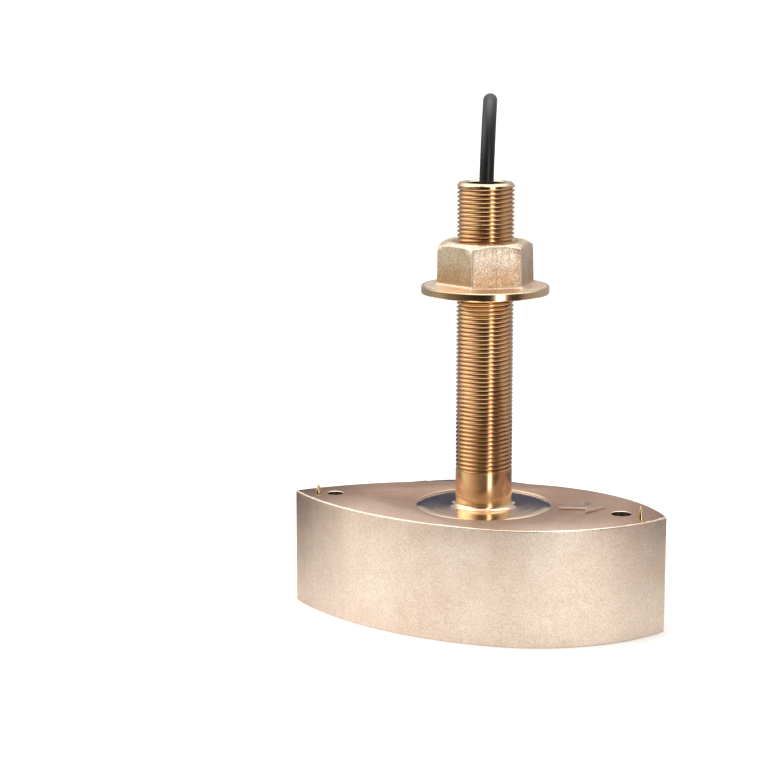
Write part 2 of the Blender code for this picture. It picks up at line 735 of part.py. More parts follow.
def smooth_points(route, spacing):
    """Evenly spaced points on a smooth curve through the route's own points."""
    fine = []
    for k in range(len(route) - 1):
        before = route[max(k - 1, 0)]
        start = route[k]
        end = route[k + 1]
        after = route[min(k + 2, len(route) - 1)]
        for i in range(ROUTE_STEPS):
            t = i / ROUTE_STEPS
            fine.append(
                0.5
                * (
                    2 * start
                    + (end - before) * t
                    + (2 * before - 5 * start + 4 * end - after) * t**2
                    + (3 * start - before - 3 * end + after) * t**3
                )
            )
    fine.append(route[-1])
    total = sum((b - a).length for a, b in zip(fine, fine[1:]))
    count = round(total / spacing)
    points = [fine[0]]
    gone = 0.0
    for a, b in zip(fine, fine[1:]):
        step = (b - a).length
        while len(points) < count and gone + step >= total * len(points) / count:
            share = (total * len(points) / count - gone) / step
            points.append(a.lerp(b, share))
        gone += step
    points.append(fine[-1])
    return points


def add_tube(name, points, radius, rubber):
    curve = bpy.data.curves.new(name, "CURVE")
    curve.dimensions = "3D"
    curve.bevel_depth = radius
    curve.bevel_resolution = (TUBE_SIDES - 4) // 2
    curve.use_fill_caps = True
    spline = curve.splines.new("POLY")
    spline.points.add(len(points) - 1)
    for place, point in zip(spline.points, points):
        place.co = (*point, 1.0)
    curve.materials.append(rubber)
    tube = bpy.data.objects.new(name, curve)
    bpy.context.scene.collection.objects.link(tube)
    return tube


def coil_profile():
    """The coil's section: stepped in by half a turn from layer to layer."""
    return [
        (COIL_BORE, COIL_LIFT),
        (COIL_RIM - CABLE_RADIUS / 2, COIL_LIFT),
        (COIL_RIM, COIL_LIFT + CABLE_RADIUS / 2),
        (COIL_RIM, COIL_SHOULDER),
        (COIL_TOP_RIM, COIL_TOP - CABLE_RADIUS / 2),
        (COIL_TOP_RIM - CABLE_RADIUS / 2, COIL_TOP),
        (COIL_BORE, COIL_TOP),
    ]


def build_tie(name, angle, nylon):
    """A flat strap closed round the coil's bundle of turns."""
    near = COIL_BORE - TIE_BORE_CLEARANCE
    loops = []
    for spare in (COIL_LIFT - TIE_THICKNESS, COIL_LIFT):
        loops.append(
            [
                (near - spare + COIL_LIFT - TIE_THICKNESS, COIL_LIFT - spare),
                (COIL_RIM + spare, COIL_LIFT - spare),
                (COIL_RIM + spare, COIL_SHOULDER + spare),
                (COIL_TOP_RIM + spare, COIL_TOP + spare),
                (near - spare + COIL_LIFT - TIE_THICKNESS, COIL_TOP + spare),
            ]
        )
    inner, outer = loops
    half = TIE_WIDTH / 2
    shape = bmesh.new()
    rows = [
        [shape.verts.new((radius, side, height)) for radius, height in loop]
        for loop, side in ((inner, -half), (outer, -half), (outer, half), (inner, half))
    ]
    for k in range(4):
        low, high = rows[k], rows[(k + 1) % 4]
        for i in range(len(low)):
            j = (i + 1) % len(low)
            shape.faces.new((low[i], low[j], high[j], high[i]))
    turn = Matrix.Rotation(math.radians(angle), 4, "Z")
    shape.transform(Matrix.Translation((*COIL_CENTRE, 0.0)) @ turn)
    add_object(name, shape, nylon)


def tail_direction():
    turn = math.radians(TAIL_LEAVES_AT)
    return Vector((-math.sin(turn), math.cos(turn), 0.0))


def tail_point(run, height):
    start = coil_point(TAIL_LEAVES_AT, COIL_OUTER_TURN, 0.0)
    return start + tail_direction() * run + Vector((0.0, 0.0, height))


def tail_height(run):
    """The tail rises in one soft S from the coil's bottom turn to the plug's axis."""
    foot = COIL_LIFT + CABLE_RADIUS
    share = (run - TAIL_RISES_FROM) / (TAIL_LEVEL_FROM - TAIL_RISES_FROM)
    share = min(max(share, 0.0), 1.0)
    return foot + (COLLAR_RADIUS - foot) * share**2 * (3 - 2 * share)


def along_tail(shape, run):
    """Lay a piece that was turned about +Z along the tail, at this run and the plug's height."""
    direction = tail_direction()
    side = Vector((-direction.y, direction.x, 0.0))
    up = Vector((0.0, 0.0, 1.0))
    place = tail_point(run, COLLAR_RADIUS)
    shape.transform(Matrix.Translation(place) @ Matrix((side, up, direction)).transposed().to_4x4())
    return shape


def build_connector(rubber, dark_plastic, gold):
    """The plug on the cable's end, each piece turned about the cable's own axis."""
    boot = [
        (BOOT_TIP_RADIUS, 0.0),
        (BOOT_TIP_RADIUS, BOOT_LENGTH * 0.15),
        (BOOT_END_RADIUS * 0.8, BOOT_LENGTH * 0.6),
        (BOOT_END_RADIUS, BOOT_LENGTH),
    ]
    boot_run = TAIL_LENGTH + GAP
    add_object("connector_boot", along_tail(turned(boot, HOLE_FACETS), boot_run), rubber)
    body_run = boot_run + BOOT_LENGTH + GAP
    shank = CONNECTOR_LENGTH - COLLAR_LENGTH
    inside = COLLAR_RADIUS - COLLAR_WALL
    body = [
        (CONNECTOR_RADIUS - CONNECTOR_CHAMFER, 0.0),
        (CONNECTOR_RADIUS, CONNECTOR_CHAMFER),
        (CONNECTOR_RADIUS, shank),
        (INSERT_RADIUS, shank),
        (INSERT_RADIUS, CONNECTOR_LENGTH - CONTACT_LENGTH - GAP),
    ]
    add_object("connector_body", along_tail(turned(body, HOLE_FACETS), body_run), dark_plastic)
    collar_run = body_run + shank + GAP
    collar = [
        (inside, 0.0),
        (COLLAR_RADIUS, 0.0),
        (COLLAR_RADIUS, COLLAR_LENGTH - COLLAR_CHAMFER),
        (COLLAR_RADIUS - COLLAR_CHAMFER, COLLAR_LENGTH),
        (inside, COLLAR_LENGTH),
    ]
    shape = turned(collar, FINE_FACETS, closed=True)
    add_object("connector_collar", along_tail(shape, collar_run), dark_plastic)
    insert_run = body_run + CONNECTOR_LENGTH - CONTACT_LENGTH
    face = cylinder(INSERT_RADIUS, 0.0, INSERT_THICKNESS, HOLE_FACETS)
    insert = add_object("connector_insert", along_tail(face, insert_run), gold)
    for k, place in enumerate(circle(CONTACT_RING_RADIUS, CONTACT_COUNT)):
        contact = cylinder(CONTACT_RADIUS, INSERT_THICKNESS / 2, CONTACT_LENGTH, LEAD_FACETS, place)
        guide = add_guide(f"add_contact_{k + 1}", along_tail(contact, insert_run))
        combine(insert, guide, "UNION")


def build_cable(rubber, nylon):
    axis = (STEM_AHEAD, 0.0)
    inner = cylinder(CABLE_RADIUS, BOARD_TOP + GAP, STEM_POTTING_TOP, SMALL_FACETS, axis)
    add_object("cable_inner", inner, rubber)
    add_tube("cable", smooth_points(cable_route(), CABLE_POINT_SPACING), CABLE_RADIUS, rubber)
    ring = turned(coil_profile(), COIL_FACETS, COIL_CENTRE, closed=True)
    add_object("cable_coil", ring, rubber)
    for k, angle in enumerate(TIE_ANGLES):
        build_tie(f"coil_tie_{k + 1}", angle, nylon)
    near_side = COIL_OUTER_TURN - CABLE_RADIUS * math.cos(math.pi / TUBE_SIDES)
    clear = math.sqrt((COIL_RIM + GAP) ** 2 - near_side**2)
    runs = [clear + (TAIL_LENGTH - clear) * k / TAIL_STEPS for k in range(TAIL_STEPS + 1)]
    tail = [tail_point(run, tail_height(run)) for run in runs]
    add_tube("cable_tail", tail, CABLE_RADIUS, rubber)


def build():
    clear_scene()
    bronze = material("cast_bronze", (0.62, 0.42, 0.28), 0.9, 0.5)
    bright_bronze = material("machined_bronze", (0.75, 0.52, 0.30), 1.0, 0.22)
    urethane = material("urethane", (0.05, 0.05, 0.055), 0.0, 0.45)
    ceramic = material("silvered_ceramic", (0.72, 0.70, 0.64), 0.2, 0.4)
    cork = material("cork_carrier", (0.45, 0.30, 0.17), 0.0, 0.9)
    foam = material("pressure_release_foam", (0.20, 0.20, 0.20), 0.0, 0.95)
    foil = material("tinned_copper", (0.78, 0.60, 0.45), 1.0, 0.3)
    steel = material("stainless_steel", (0.60, 0.60, 0.60), 1.0, 0.3)
    laminate = material("board_laminate", (0.05, 0.22, 0.10), 0.0, 0.5)
    ferrite = material("ferrite", (0.09, 0.09, 0.10), 0.0, 0.6)
    nylon = material("nylon", (0.06, 0.06, 0.06), 0.0, 0.5)
    copper = material("copper_wire", (0.72, 0.36, 0.18), 1.0, 0.3)
    epoxy = material("potting_compound", (0.03, 0.03, 0.03), 0.0, 0.4)
    rubber = material("cable_jacket", (0.02, 0.02, 0.02), 0.0, 0.35)
    gold = material("contact_insert", (0.55, 0.45, 0.25), 0.6, 0.35)
    build_housing(bronze)
    build_pins(bright_bronze)
    build_nut(bronze)
    build_acoustic_stack(urethane, ceramic, cork, foil, foam, steel)
    build_electronics(laminate, ferrite, nylon, copper, epoxy)
    build_cable(rubber, nylon)
    build_connector(rubber, nylon, gold)


build()
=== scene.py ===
"""Looks of a cast bronze through-hull sonar transducer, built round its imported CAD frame.

All lengths are in millimetres until a mesh is made, then in metres.
"""
import math

import bmesh
import bpy
import numpy as np
from mathutils import Matrix, Vector, noise


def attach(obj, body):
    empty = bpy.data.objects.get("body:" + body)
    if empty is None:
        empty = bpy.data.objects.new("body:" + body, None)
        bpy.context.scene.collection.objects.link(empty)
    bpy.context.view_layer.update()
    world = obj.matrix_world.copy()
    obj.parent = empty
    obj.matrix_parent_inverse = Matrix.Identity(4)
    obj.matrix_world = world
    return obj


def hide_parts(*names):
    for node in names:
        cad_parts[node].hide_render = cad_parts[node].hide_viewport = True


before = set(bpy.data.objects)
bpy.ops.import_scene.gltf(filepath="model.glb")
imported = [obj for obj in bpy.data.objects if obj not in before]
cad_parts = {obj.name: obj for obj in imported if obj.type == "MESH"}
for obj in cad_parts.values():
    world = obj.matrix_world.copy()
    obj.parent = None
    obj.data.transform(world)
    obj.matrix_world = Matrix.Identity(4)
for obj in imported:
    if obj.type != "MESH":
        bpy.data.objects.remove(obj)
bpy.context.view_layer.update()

MM = 0.001

# Camera, fitted to the photograph's outlines
VIEW_PLACE = (278.44, -1050.24, 324.09)
VIEW_RIGHT = (0.954776, 0.297327, -0.00036)
VIEW_UP = (-0.054684, 0.176791, 0.982728)
VIEW_LENS = 2201 / 770 * 36
VIEW_AZIMUTH = -75.3

# Housing
LENGTH = 194.0
WIDTH = 100.0
HEIGHT = 58.7
WIDEST = 18.0
TIP = 1.2
WALL = 6.0
ROOF = 6.0
CHAMBER = (-62.0, 60.0)
STEM_X = 3.5
STEM_R = 14.2875
STEM_TOP = 221.7
PITCH = 25.4 / 12
THREAD_FOOT = 77.4
SPOT_R = 34.3
SPOT_Z = 58.3
BORE_R = 9.75
BORE_FLOOR = 213.0
HOLES = ((-LENGTH / 2 + 21.4, 4.0), (LENGTH / 2 - 22.7, 5.0))
AFT_PIN = (-LENGTH / 2 + 14.2, -6.0)
FORE_PIN = (LENGTH / 2 - 10.8, -11.0)
# The housing's sides get darker towards both tips, measured from this point along it
DARKENING_MIDDLE = 9.0

# Nut
NUT_Z = 166.6
NUT_HEIGHT = 26.2
FLANGE_R = 32.0
RIM = 3.9
FLATS = (43.6, 42.9)
HEX_CORNER_R = 1.3
HEX_TOP_ROUND = 2.2
HEX_CONE_R = 20.4

# The dark card behind the object
CARD_BEHIND = 118.0
CARD_HALF_WIDTH = 64.0
CARD_HEIGHTS = (66.0, 94.0)

# Cable
CABLE_R = 3.7
COIL = (-42.0, 131.0)
COIL_FOOT = 1.0
INNER_TURN = 24.0
LAYER_RISE = 2 * CABLE_R * math.sqrt(3) / 2
COIL_TOP = COIL_FOOT + 2 * CABLE_R + 2 * LAYER_RISE


# Shapes

def mesh_object(name, shape, mat, angle=35.0):
    """A named object from a bmesh in millimetres, with outward faces."""
    bmesh.ops.scale(shape, vec=(MM, MM, MM), verts=shape.verts)
    bmesh.ops.recalc_face_normals(shape, faces=shape.faces)
    data = bpy.data.meshes.new(name)
    shape.to_mesh(data)
    shape.free()
    data.shade_smooth()
    data.set_sharp_from_angle(angle=math.radians(angle))
    item = bpy.data.objects.new(name, data)
    bpy.context.scene.collection.objects.link(item)
    if mat is not None:
        data.materials.append(mat)
    return item


def loft(rings, closed=False, caps=True):
    shape = bmesh.new()
    rows = [[shape.verts.new(p) for p in ring] for ring in rings]
    pairs = list(zip(rows, rows[1:]))
    if closed:
        pairs.append((rows[-1], rows[0]))
    for low, high in pairs:
        for i in range(len(low)):
            j = (i + 1) % len(low)
            shape.faces.new((low[i], low[j], high[j], high[i]))
    if caps and not closed:
        shape.faces.new(list(reversed(rows[0])))
        shape.faces.new(rows[-1])
    return shape


def ring(radius, z, n, centre=(0.0, 0.0)):
    return [
        (
            centre[0] + radius * math.cos(2 * math.pi * i / n),
            centre[1] + radius * math.sin(2 * math.pi * i / n),
            z,
        )
        for i in range(n)
    ]


def lathe(profile, n, centre=(0.0, 0.0), closed=False):
    return loft([ring(r, z, n, centre) for r, z in profile], closed)


def cut(item, shape, operation="DIFFERENCE"):
    """Cut a shape out of an object, or join it on, and keep the result as its mesh."""
    tool = mesh_object(item.name + "_tool", shape, None)
    step = item.modifiers.new("cut", "BOOLEAN")
    step.solver = "EXACT"
    step.operation = operation
    step.object = tool
    apply_modifiers(item)
    bpy.data.objects.remove(tool, do_unlink=True)


def apply_modifiers(item):
    graph = bpy.context.evaluated_depsgraph_get()
    data = bpy.data.meshes.new_from_object(item.evaluated_get(graph))
    item.modifiers.clear()
    item.data = data


def smooth_sharp(item, angle=35.0):
    item.data.shade_smooth()
    item.data.set_sharp_from_angle(angle=math.radians(angle))


# Material nodes

def add_node(tree, kind, **settings):
    node = tree.nodes.new("ShaderNode" + kind)
    for key, value in settings.items():
        setattr(node, key, value)
    return node


def wire(value, socket):
    """Link an output to a socket, or set the socket's own value."""
    if isinstance(value, bpy.types.NodeSocket):
        socket.id_data.links.new(value, socket)
    else:
        socket.default_value = value


class Nodes:
    """A material's node tree, built by small calls that each return an output socket."""

    def __init__(self, name):
        self.material = bpy.data.materials.new(name)
        self.material.use_nodes = True
        self.tree = self.material.node_tree
        self.shader = self.tree.nodes["Principled BSDF"]

    def add(self, kind, **settings):
        return add_node(self.tree, kind, **settings)

    def feed(self, node, **inputs):
        for key, value in inputs.items():
            numbered = key[0] == "i" and key[1:].isdigit()
            wire(value, node.inputs[int(key[1:]) if numbered else key])
        return node

    def upward(self):
        """How far the surface faces up, from -1 to 1, in the object's own frame."""
        return self.split(self.add("TexCoord").outputs["Normal"])[2]

    def vector(self, operation, a, b=(0.0, 0.0, 0.0), scale=1.0):
        node = self.add("VectorMath", operation=operation)
        for socket, value in zip(node.inputs, (a, b)):
            wire(value, socket)
        if operation == "SCALE":
            self.feed(node, Scale=scale)
        return node.outputs[0]

    def place(self, scale=(1.0, 1.0, 1.0), offset=(0.0, 0.0, 0.0)):
        """The point on the object, in millimetres, stretched by scale."""
        point = self.add("TexCoord").outputs["Object"]
        node = self.add("Mapping")
        node.inputs["Scale"].default_value = [s * 1000 for s in scale]
        node.inputs["Location"].default_value = offset
        self.tree.links.new(point, node.inputs["Vector"])
        return node.outputs["Vector"]

    def noise(self, vector, scale, detail=2.0, roughness=0.5, distortion=0.0):
        node = self.add("TexNoise")
        self.feed(node, Vector=vector, Scale=scale, Detail=detail, Roughness=roughness, Distortion=distortion)
        return node.outputs["Fac"]

    def cells(self, vector, scale):
        node = self.add("TexVoronoi", feature="F1")
        self.feed(node, Vector=vector, Scale=scale)
        return node.outputs["Distance"]

    def math(self, operation, a, b=0.0, c=0.0):
        node = self.add("Math", operation=operation)
        self.feed(node, i0=a, i1=b, i2=c)
        return node.outputs[0]

    def span(self, value, low, high, to_low=0.0, to_high=1.0):
        node = self.add("MapRange")
        self.feed(node, i0=value, i1=low, i2=high, i3=to_low, i4=to_high)
        return node.outputs[0]

    def ramp(self, value, stops):
        node = self.add("ValToRGB")
        band = node.color_ramp
        while len(band.elements) < len(stops):
            band.elements.new(0.5)
        for element, (position, colour) in zip(band.elements, stops):
            element.position = position
            element.color = (*colour, 1.0)
        self.feed(node, Fac=value)
        return node.outputs["Color"]

    def mix(self, share, a, b, blend="MIX"):
        node = self.add("Mix", data_type="RGBA", blend_type=blend)
        for index, value in ((0, share), (6, a), (7, b)):
            wire((*value, 1.0) if isinstance(value, tuple) else value, node.inputs[index])
        return node.outputs[2]

    def bump(self, height, strength, distance, under=None):
        node = self.add("Bump")
        self.feed(node, Height=height, Strength=strength, Distance=distance)
        if under is not None:
            self.tree.links.new(under, node.inputs["Normal"])
        return node.outputs["Normal"]

    def split(self, vector):
        node = self.add("SeparateXYZ")
        self.tree.links.new(vector, node.inputs[0])
        return node.outputs

    def finish(self, colour, roughness, normal=None, **constants):
        for name, value in (("Base Color", colour), ("Roughness", roughness), ("Normal", normal)):
            if value is not None:
                wire(value, self.shader.inputs[name])
        for name, value in constants.items():
            self.shader.inputs[name.replace("_", " ")].default_value = value
        return self.material


def cast_bronze(
    name, light, dark, grain=1.0, top_shade=0.5, rough=(0.5, 0.62), strength=0.5, speck=0.8, darkening=None
):
    """Sand-cast bronze: a fine grain, soft mottling and faint streaks, with painted shade on the upward
    faces that deepens towards the back, and an optional darker zone.

    The darker zone is given as the axis to measure along, where it starts, where it is full, and its
    colour. Along the housing it is measured from x = 9 mm, so the aft tip gets more of it.
    """
    n = Nodes(name)
    point = n.place()
    x, y, z = n.split(point)
    fine = n.noise(point, 1.3 * grain, 3.0, 0.62)
    coarse = n.noise(point, 0.42 * grain, 3.0, 0.55)
    pits = n.span(n.cells(point, 0.62 * grain), 0.0, 0.42)
    clouds = n.noise(point, 0.035, 3.0, 0.5, 0.4)
    patches = n.noise(point, 0.11, 3.0, 0.55)
    upright = n.noise(n.place((1.0, 1.0, 0.12)), 0.35, 2.0, 0.5)
    level = n.noise(n.place((0.16, 0.16, 1.4)), 0.5, 2.0, 0.5)
    tone = n.math("MULTIPLY_ADD", clouds, 0.55, n.math("MULTIPLY", patches, 0.45))
    colour = n.ramp(tone, ((0.36, dark), (0.62, light)))
    # Painted shade on upward faces: a brown multiply, lighter near the front edge and full towards the back
    ahead = n.math("MULTIPLY", n.math("SUBTRACT", x, WIDEST), 1 / 105)
    across = n.math("POWER", n.math("ABSOLUTE", ahead), 2.0)
    from_edge = n.math("MULTIPLY_ADD", across, -18.0, n.math("ADD", y, WIDTH / 2))
    top_shade_depth = n.span(from_edge, 3.0, 42.0, top_shade * 0.55, top_shade)
    top = n.math("MULTIPLY", n.span(n.upward(), 0.55, 0.95), top_shade_depth)
    colour = n.mix(top, colour, (0.40, 0.28, 0.245), "MULTIPLY")
    # Darker zone: on the housing's sides towards both tips and upwards, most at the aft tip; on the nut more
    # golden brown towards the foot of the hex
    if darkening:
        axis, begins, full, darker_colour = darkening
        run = n.math("ABSOLUTE", n.math("SUBTRACT", x, DARKENING_MIDDLE) if axis == 0 else z)
        ragged = abs(full - begins) * (0.5 if axis == 0 else 1.2)
        depth = n.math("MULTIPLY_ADD", n.math("SUBTRACT", patches, 0.5), ragged, run)
        share = n.span(depth, begins, full, 0.0, 0.9)
        limits = (-30.0, HEIGHT - 4.0) if axis == 0 else (NUT_Z + 4.8, NUT_Z + 6.4)
        share = n.math("MULTIPLY", share, n.span(z, *limits))
        colour = n.mix(share, colour, darker_colour, "MULTIPLY")
    grains = n.ramp(fine, ((0.34, (speck, speck * 0.97, speck * 0.94)), (0.60, (1.0, 1.0, 1.0))))
    colour = n.mix(1.0, colour, grains, "MULTIPLY")
    streak = n.math("ADD", n.span(upright, 0.35, 0.7, -0.03, 0.03), n.span(level, 0.35, 0.7, -0.03, 0.03))
    roughness = n.math("ADD", n.span(coarse, 0.3, 0.7, rough[0], rough[1]), streak)
    relief = n.bump(fine, strength, 0.00012)
    relief = n.bump(coarse, strength * 0.7, 0.00024, relief)
    relief = n.bump(pits, strength * 0.35, 0.00012, relief)
    relief = n.bump(upright, strength * 0.25, 0.00012, relief)
    return n.finish(colour, roughness, relief, Metallic=0.95)


def turned_bronze(name, bright, groove_shade_colour, rough=0.11, lines=(0.10, 0.35), flank=1.0, dish=0.0, face=None):
    """Machined bronze. Fine tool lines round the axis spread its reflections across them.

    The lines' slope tilts the surface's own normal along the profile that the tool followed. Lines
    gives that slope on the stem and on the flat face round it. Flank is the share that the thread's
    flanks keep of their slope, dish how far the flat face falls outward, and face its colour, which
    also covers the fillet as a painted highlight. The thread's grooves, the threaded length and the
    bore get painted shade.
    """
    n = Nodes(name)
    point = n.place()
    x, y, z = n.split(point)
    off = n.math("SUBTRACT", x, STEM_X)
    radius = n.math("SQRT", n.math("ADD", n.math("MULTIPLY", off, off), n.math("MULTIPLY", y, y)))
    line_at = n.add("CombineXYZ")
    n.feed(line_at, i0=n.math("MULTIPLY", radius, 3.0), i1=0.0, i2=n.math("MULTIPLY", z, 3.0))
    tool = n.noise(line_at.outputs[0], 1.7, 2.0, 0.6)
    darkening = n.noise(point, 0.09, 3.0, 0.55)
    end = n.span(z, STEM_TOP - 1.9, STEM_TOP - 1.3)
    # Painted shade: the thread's deeper parts take the dark colour, the crests the bright one
    groove_shade = n.math("MAXIMUM", n.span(radius, STEM_R - 0.95, STEM_R - 0.10), end)
    clear_of_bore_shade = n.span(radius, BORE_R - 0.1, BORE_R + 0.4)
    colour = n.ramp(groove_shade, ((0.0, groove_shade_colour), (0.75, bright)))
    warm = tuple(c * w for c, w in zip(bright, (0.78, 0.80, 0.72)))
    colour = n.mix(n.span(darkening, 0.42, 0.72, 0.0, 0.7), colour, warm)
    # Painted shade: the threaded length is multiplied darker and warmer than the plain length
    thread_shade = n.span(z, THREAD_FOOT - 0.6, THREAD_FOOT, 0.0, 1.0 if face else 0.0)
    colour = n.mix(thread_shade, colour, (0.87, 0.76, 0.64), "MULTIPLY")
    # Painted highlight: the paler face colour covers nearly all the fillet; on the flat face and the top end
    # it is their colour
    faced_with_fillet_highlight = n.math("MAXIMUM", n.span(radius, STEM_R + 0.05, STEM_R + 0.9), end)
    colour = n.mix(faced_with_fillet_highlight, colour, face or bright)
    # Painted shade: inside the bore the colour is dark
    colour = n.mix(clear_of_bore_shade, (0.16, 0.10, 0.06), colour)
    uneven = n.span(darkening, 0.4, 0.8, 0.0, 0.05)
    roughness = n.math("ADD", n.span(tool, 0.3, 0.7, rough - 0.03, rough + 0.04), uneven)
    foot = n.span(radius, STEM_R + 0.04, STEM_R + 0.3, flank, 1.0)
    steep = n.math("MAXIMUM", foot, n.span(z, STEM_TOP - 1.4, STEM_TOP - 1.1, flank, 1.0))
    flatter = n.add("CombineXYZ")
    n.feed(flatter, i0=1.0, i1=1.0, i2=steep)
    own = n.vector("NORMALIZE", n.vector("MULTIPLY", n.add("TexCoord").outputs["Normal"], flatter.outputs[0]))
    round_axis = n.add("CombineXYZ")
    leftward = n.math("DIVIDE", n.math("MULTIPLY", y, -1.0), radius)
    n.feed(round_axis, i0=leftward, i1=n.math("DIVIDE", off, radius), i2=0.0)
    along = n.vector("CROSS_PRODUCT", own, round_axis.outputs[0])
    spread = n.span(radius, STEM_R + 3.0, STEM_R + 5.0, lines[0], lines[1])
    fall = n.span(radius, STEM_R + 3.0, STEM_R + 4.0, 0.0, -dish)
    slope = n.math("MULTIPLY_ADD", n.math("SUBTRACT", tool, 0.5), spread, fall)
    tilted = n.vector("NORMALIZE", n.vector("ADD", own, n.vector("SCALE", along, scale=slope)))
    to_world = n.add("VectorTransform", vector_type="NORMAL", convert_from="OBJECT", convert_to="WORLD")
    n.tree.links.new(tilted, to_world.inputs[0])
    return n.finish(colour, roughness, to_world.outputs[0], Metallic=1.0)


def plain_surface(
    name, colour, rough, metallic=0.0, grain=0.8, strength=0.25, contrast=0.25, stretch=(1, 1, 1)
):
    """A general finish with fine grain and slight variation of tone."""
    n = Nodes(name)
    point = n.place(stretch)
    fine = n.noise(point, grain, 3.0, 0.6)
    wide = n.noise(point, grain * 0.12, 2.0, 0.5)
    tone = n.math("MULTIPLY_ADD", fine, 0.4, n.math("MULTIPLY", wide, 0.6))
    dark = tuple(c * (1 - contrast) for c in colour)
    light = tuple(min(1.0, c * (1 + contrast)) for c in colour)
    shade = n.ramp(tone, ((0.35, dark), (0.65, light)))
    roughness = n.span(fine, 0.3, 0.7, max(rough - 0.06, 0.05), min(rough + 0.08, 1.0))
    return n.finish(shade, roughness, n.bump(fine, strength, 0.0001), Metallic=metallic)


def jacket(name):
    """The cable's black jacket, with a faint drawn grain along it."""
    n = Nodes(name)
    point = n.place()
    fine = n.noise(point, 1.2, 3.0, 0.6)
    dust = n.noise(point, 0.07, 3.0, 0.6)
    colour = n.ramp(n.math("MULTIPLY_ADD", dust, 0.7, n.math("MULTIPLY", fine, 0.3)),
                    ((0.35, (0.004, 0.006, 0.0055)), (0.7, (0.010, 0.013, 0.012))))
    roughness = n.span(dust, 0.3, 0.7, 0.30, 0.40)
    return n.finish(colour, roughness, n.bump(fine, 0.12, 0.00006), Specular_IOR_Level=0.5)


# Its upward faces get painted shade, deeper towards the back.
CAST = cast_bronze(
    "cast_bronze_surface", (0.97, 0.84, 0.71), (0.89, 0.72, 0.59), top_shade=0.85,
    # The sides get darker towards both tips and upwards, most at the aft tip.
    darkening=(0, 64.0, 103.0, (0.22, 0.17, 0.155))
)
WORN = cast_bronze(
    "worn_edge_surface", (0.98, 0.86, 0.72), (0.93, 0.77, 0.62), 1.3, 0.0, (0.26, 0.36), 0.35, 0.9
)
# Painted shade for the walls of the bolt holes: a near-black bronze
HOLE_SHADE = plain_surface("hole_shade_surface", (0.14, 0.11, 0.08), 0.35, 1.0, 1.4, 0.4, 0.3)
NUT_CAST = cast_bronze(
    "nut_cast_surface", (1.0, 0.84, 0.67), (0.90, 0.68, 0.49), 1.0, 0.0, (0.30, 0.44), 1.0, 0.60,
    # The hex gets more golden brown towards its foot above the flange.
    (2, NUT_Z + 20.0, NUT_Z + 6.0, (0.80, 0.62, 0.42))
)
# A darker copy of the cast bronze, painted shade, with the same painted shade on its top as the housing's
ARROW = cast_bronze(
    "arrow_surface", (0.88, 0.74, 0.62), (0.78, 0.63, 0.52), 1.3, 0.6, (0.34, 0.44), 0.35, 0.85
)
NUT_EDGE = cast_bronze(
    "nut_edge_surface", (1.0, 0.86, 0.70), (0.94, 0.76, 0.58), 1.0, 0.0, (0.55, 0.65), 0.6, 0.8
)
# Its dark second colour is painted shade in the thread's grooves.
TURNED = turned_bronze(
    "turned_bronze_surface", (0.93, 0.62, 0.36), (0.30, 0.16, 0.08), flank=0.25, dish=0.03,
    # The face colour, also laid over the fillet as a painted highlight.
    face=(0.94, 0.74, 0.54)
)
# A darker copy of the turned bronze: painted shade on the nut's rim
TURNED_RIM_SHADED = turned_bronze("turned_rim_shaded_surface", (0.80, 0.61, 0.39), (0.80, 0.61, 0.39), 0.10, (0.06, 0.06))
PIN_METAL = plain_surface("pin_surface", (0.90, 0.68, 0.40), 0.16, 1.0, 1.4, 0.06, 0.06)
JACKET = jacket("jacket_surface")
NYLON = plain_surface("nylon_surface", (0.022, 0.022, 0.024), 0.42, 0.0, 0.9, 0.15, 0.3)
STRAP = plain_surface("strap_surface", (0.030, 0.030, 0.032), 0.75, 0.0, 2.4, 0.6, 0.5)
GILT = plain_surface("contact_surface", (0.86, 0.64, 0.26), 0.22, 1.0, 1.2, 0.05, 0.08)
INSERT = plain_surface("insert_surface", (0.10, 0.09, 0.08), 0.5, 0.0, 0.9, 0.15, 0.2)
URETHANE = plain_surface("urethane_surface", (0.035, 0.035, 0.040), 0.40, 0.0, 0.35, 0.12, 0.35)
INNER = {
    "element_tray": plain_surface("cork_surface", (0.42, 0.26, 0.14), 0.9, 0.0, 0.7, 0.7, 0.45),
    "backing_pad": plain_surface("foam_surface", (0.16, 0.16, 0.17), 0.95, 0.0, 1.1, 0.8, 0.3),
    "circuit_board": plain_surface("laminate_surface", (0.04, 0.20, 0.08), 0.45, 0.0, 0.6, 0.15, 0.25),
    "potting": plain_surface("potting_surface", (0.020, 0.020, 0.022), 0.35, 0.0, 0.25, 0.2, 0.3),
    "ceramic": plain_surface("silvered_surface", (0.74, 0.72, 0.66), 0.38, 0.35, 0.6, 0.15, 0.1),
    "copper": plain_surface("copper_surface", (0.80, 0.42, 0.24), 0.28, 1.0, 1.5, 0.3, 0.15, (1, 1, 4)),
    "ferrite": plain_surface("ferrite_surface", (0.07, 0.07, 0.075), 0.6, 0.0, 0.9, 0.3, 0.25),
    "steel": plain_surface("steel_surface", (0.60, 0.60, 0.60), 0.3, 1.0, 1.2, 0.1, 0.1),
}


# Camera, floor and light

def add_camera():
    camera = bpy.data.objects.new("camera", bpy.data.cameras.new("camera"))
    bpy.context.scene.collection.objects.link(camera)
    right = Vector(VIEW_RIGHT).normalized()
    back = right.cross(Vector(VIEW_UP)).normalized()
    up = back.cross(right)
    turn = Matrix((right, up, back)).transposed().to_4x4()
    camera.matrix_world = Matrix.Translation(Vector(VIEW_PLACE) * MM) @ turn
    camera.data.sensor_width = 36
    camera.data.lens = VIEW_LENS
    camera.data.clip_start = 0.01
    camera.data.clip_end = 60
    bpy.context.scene.camera = camera


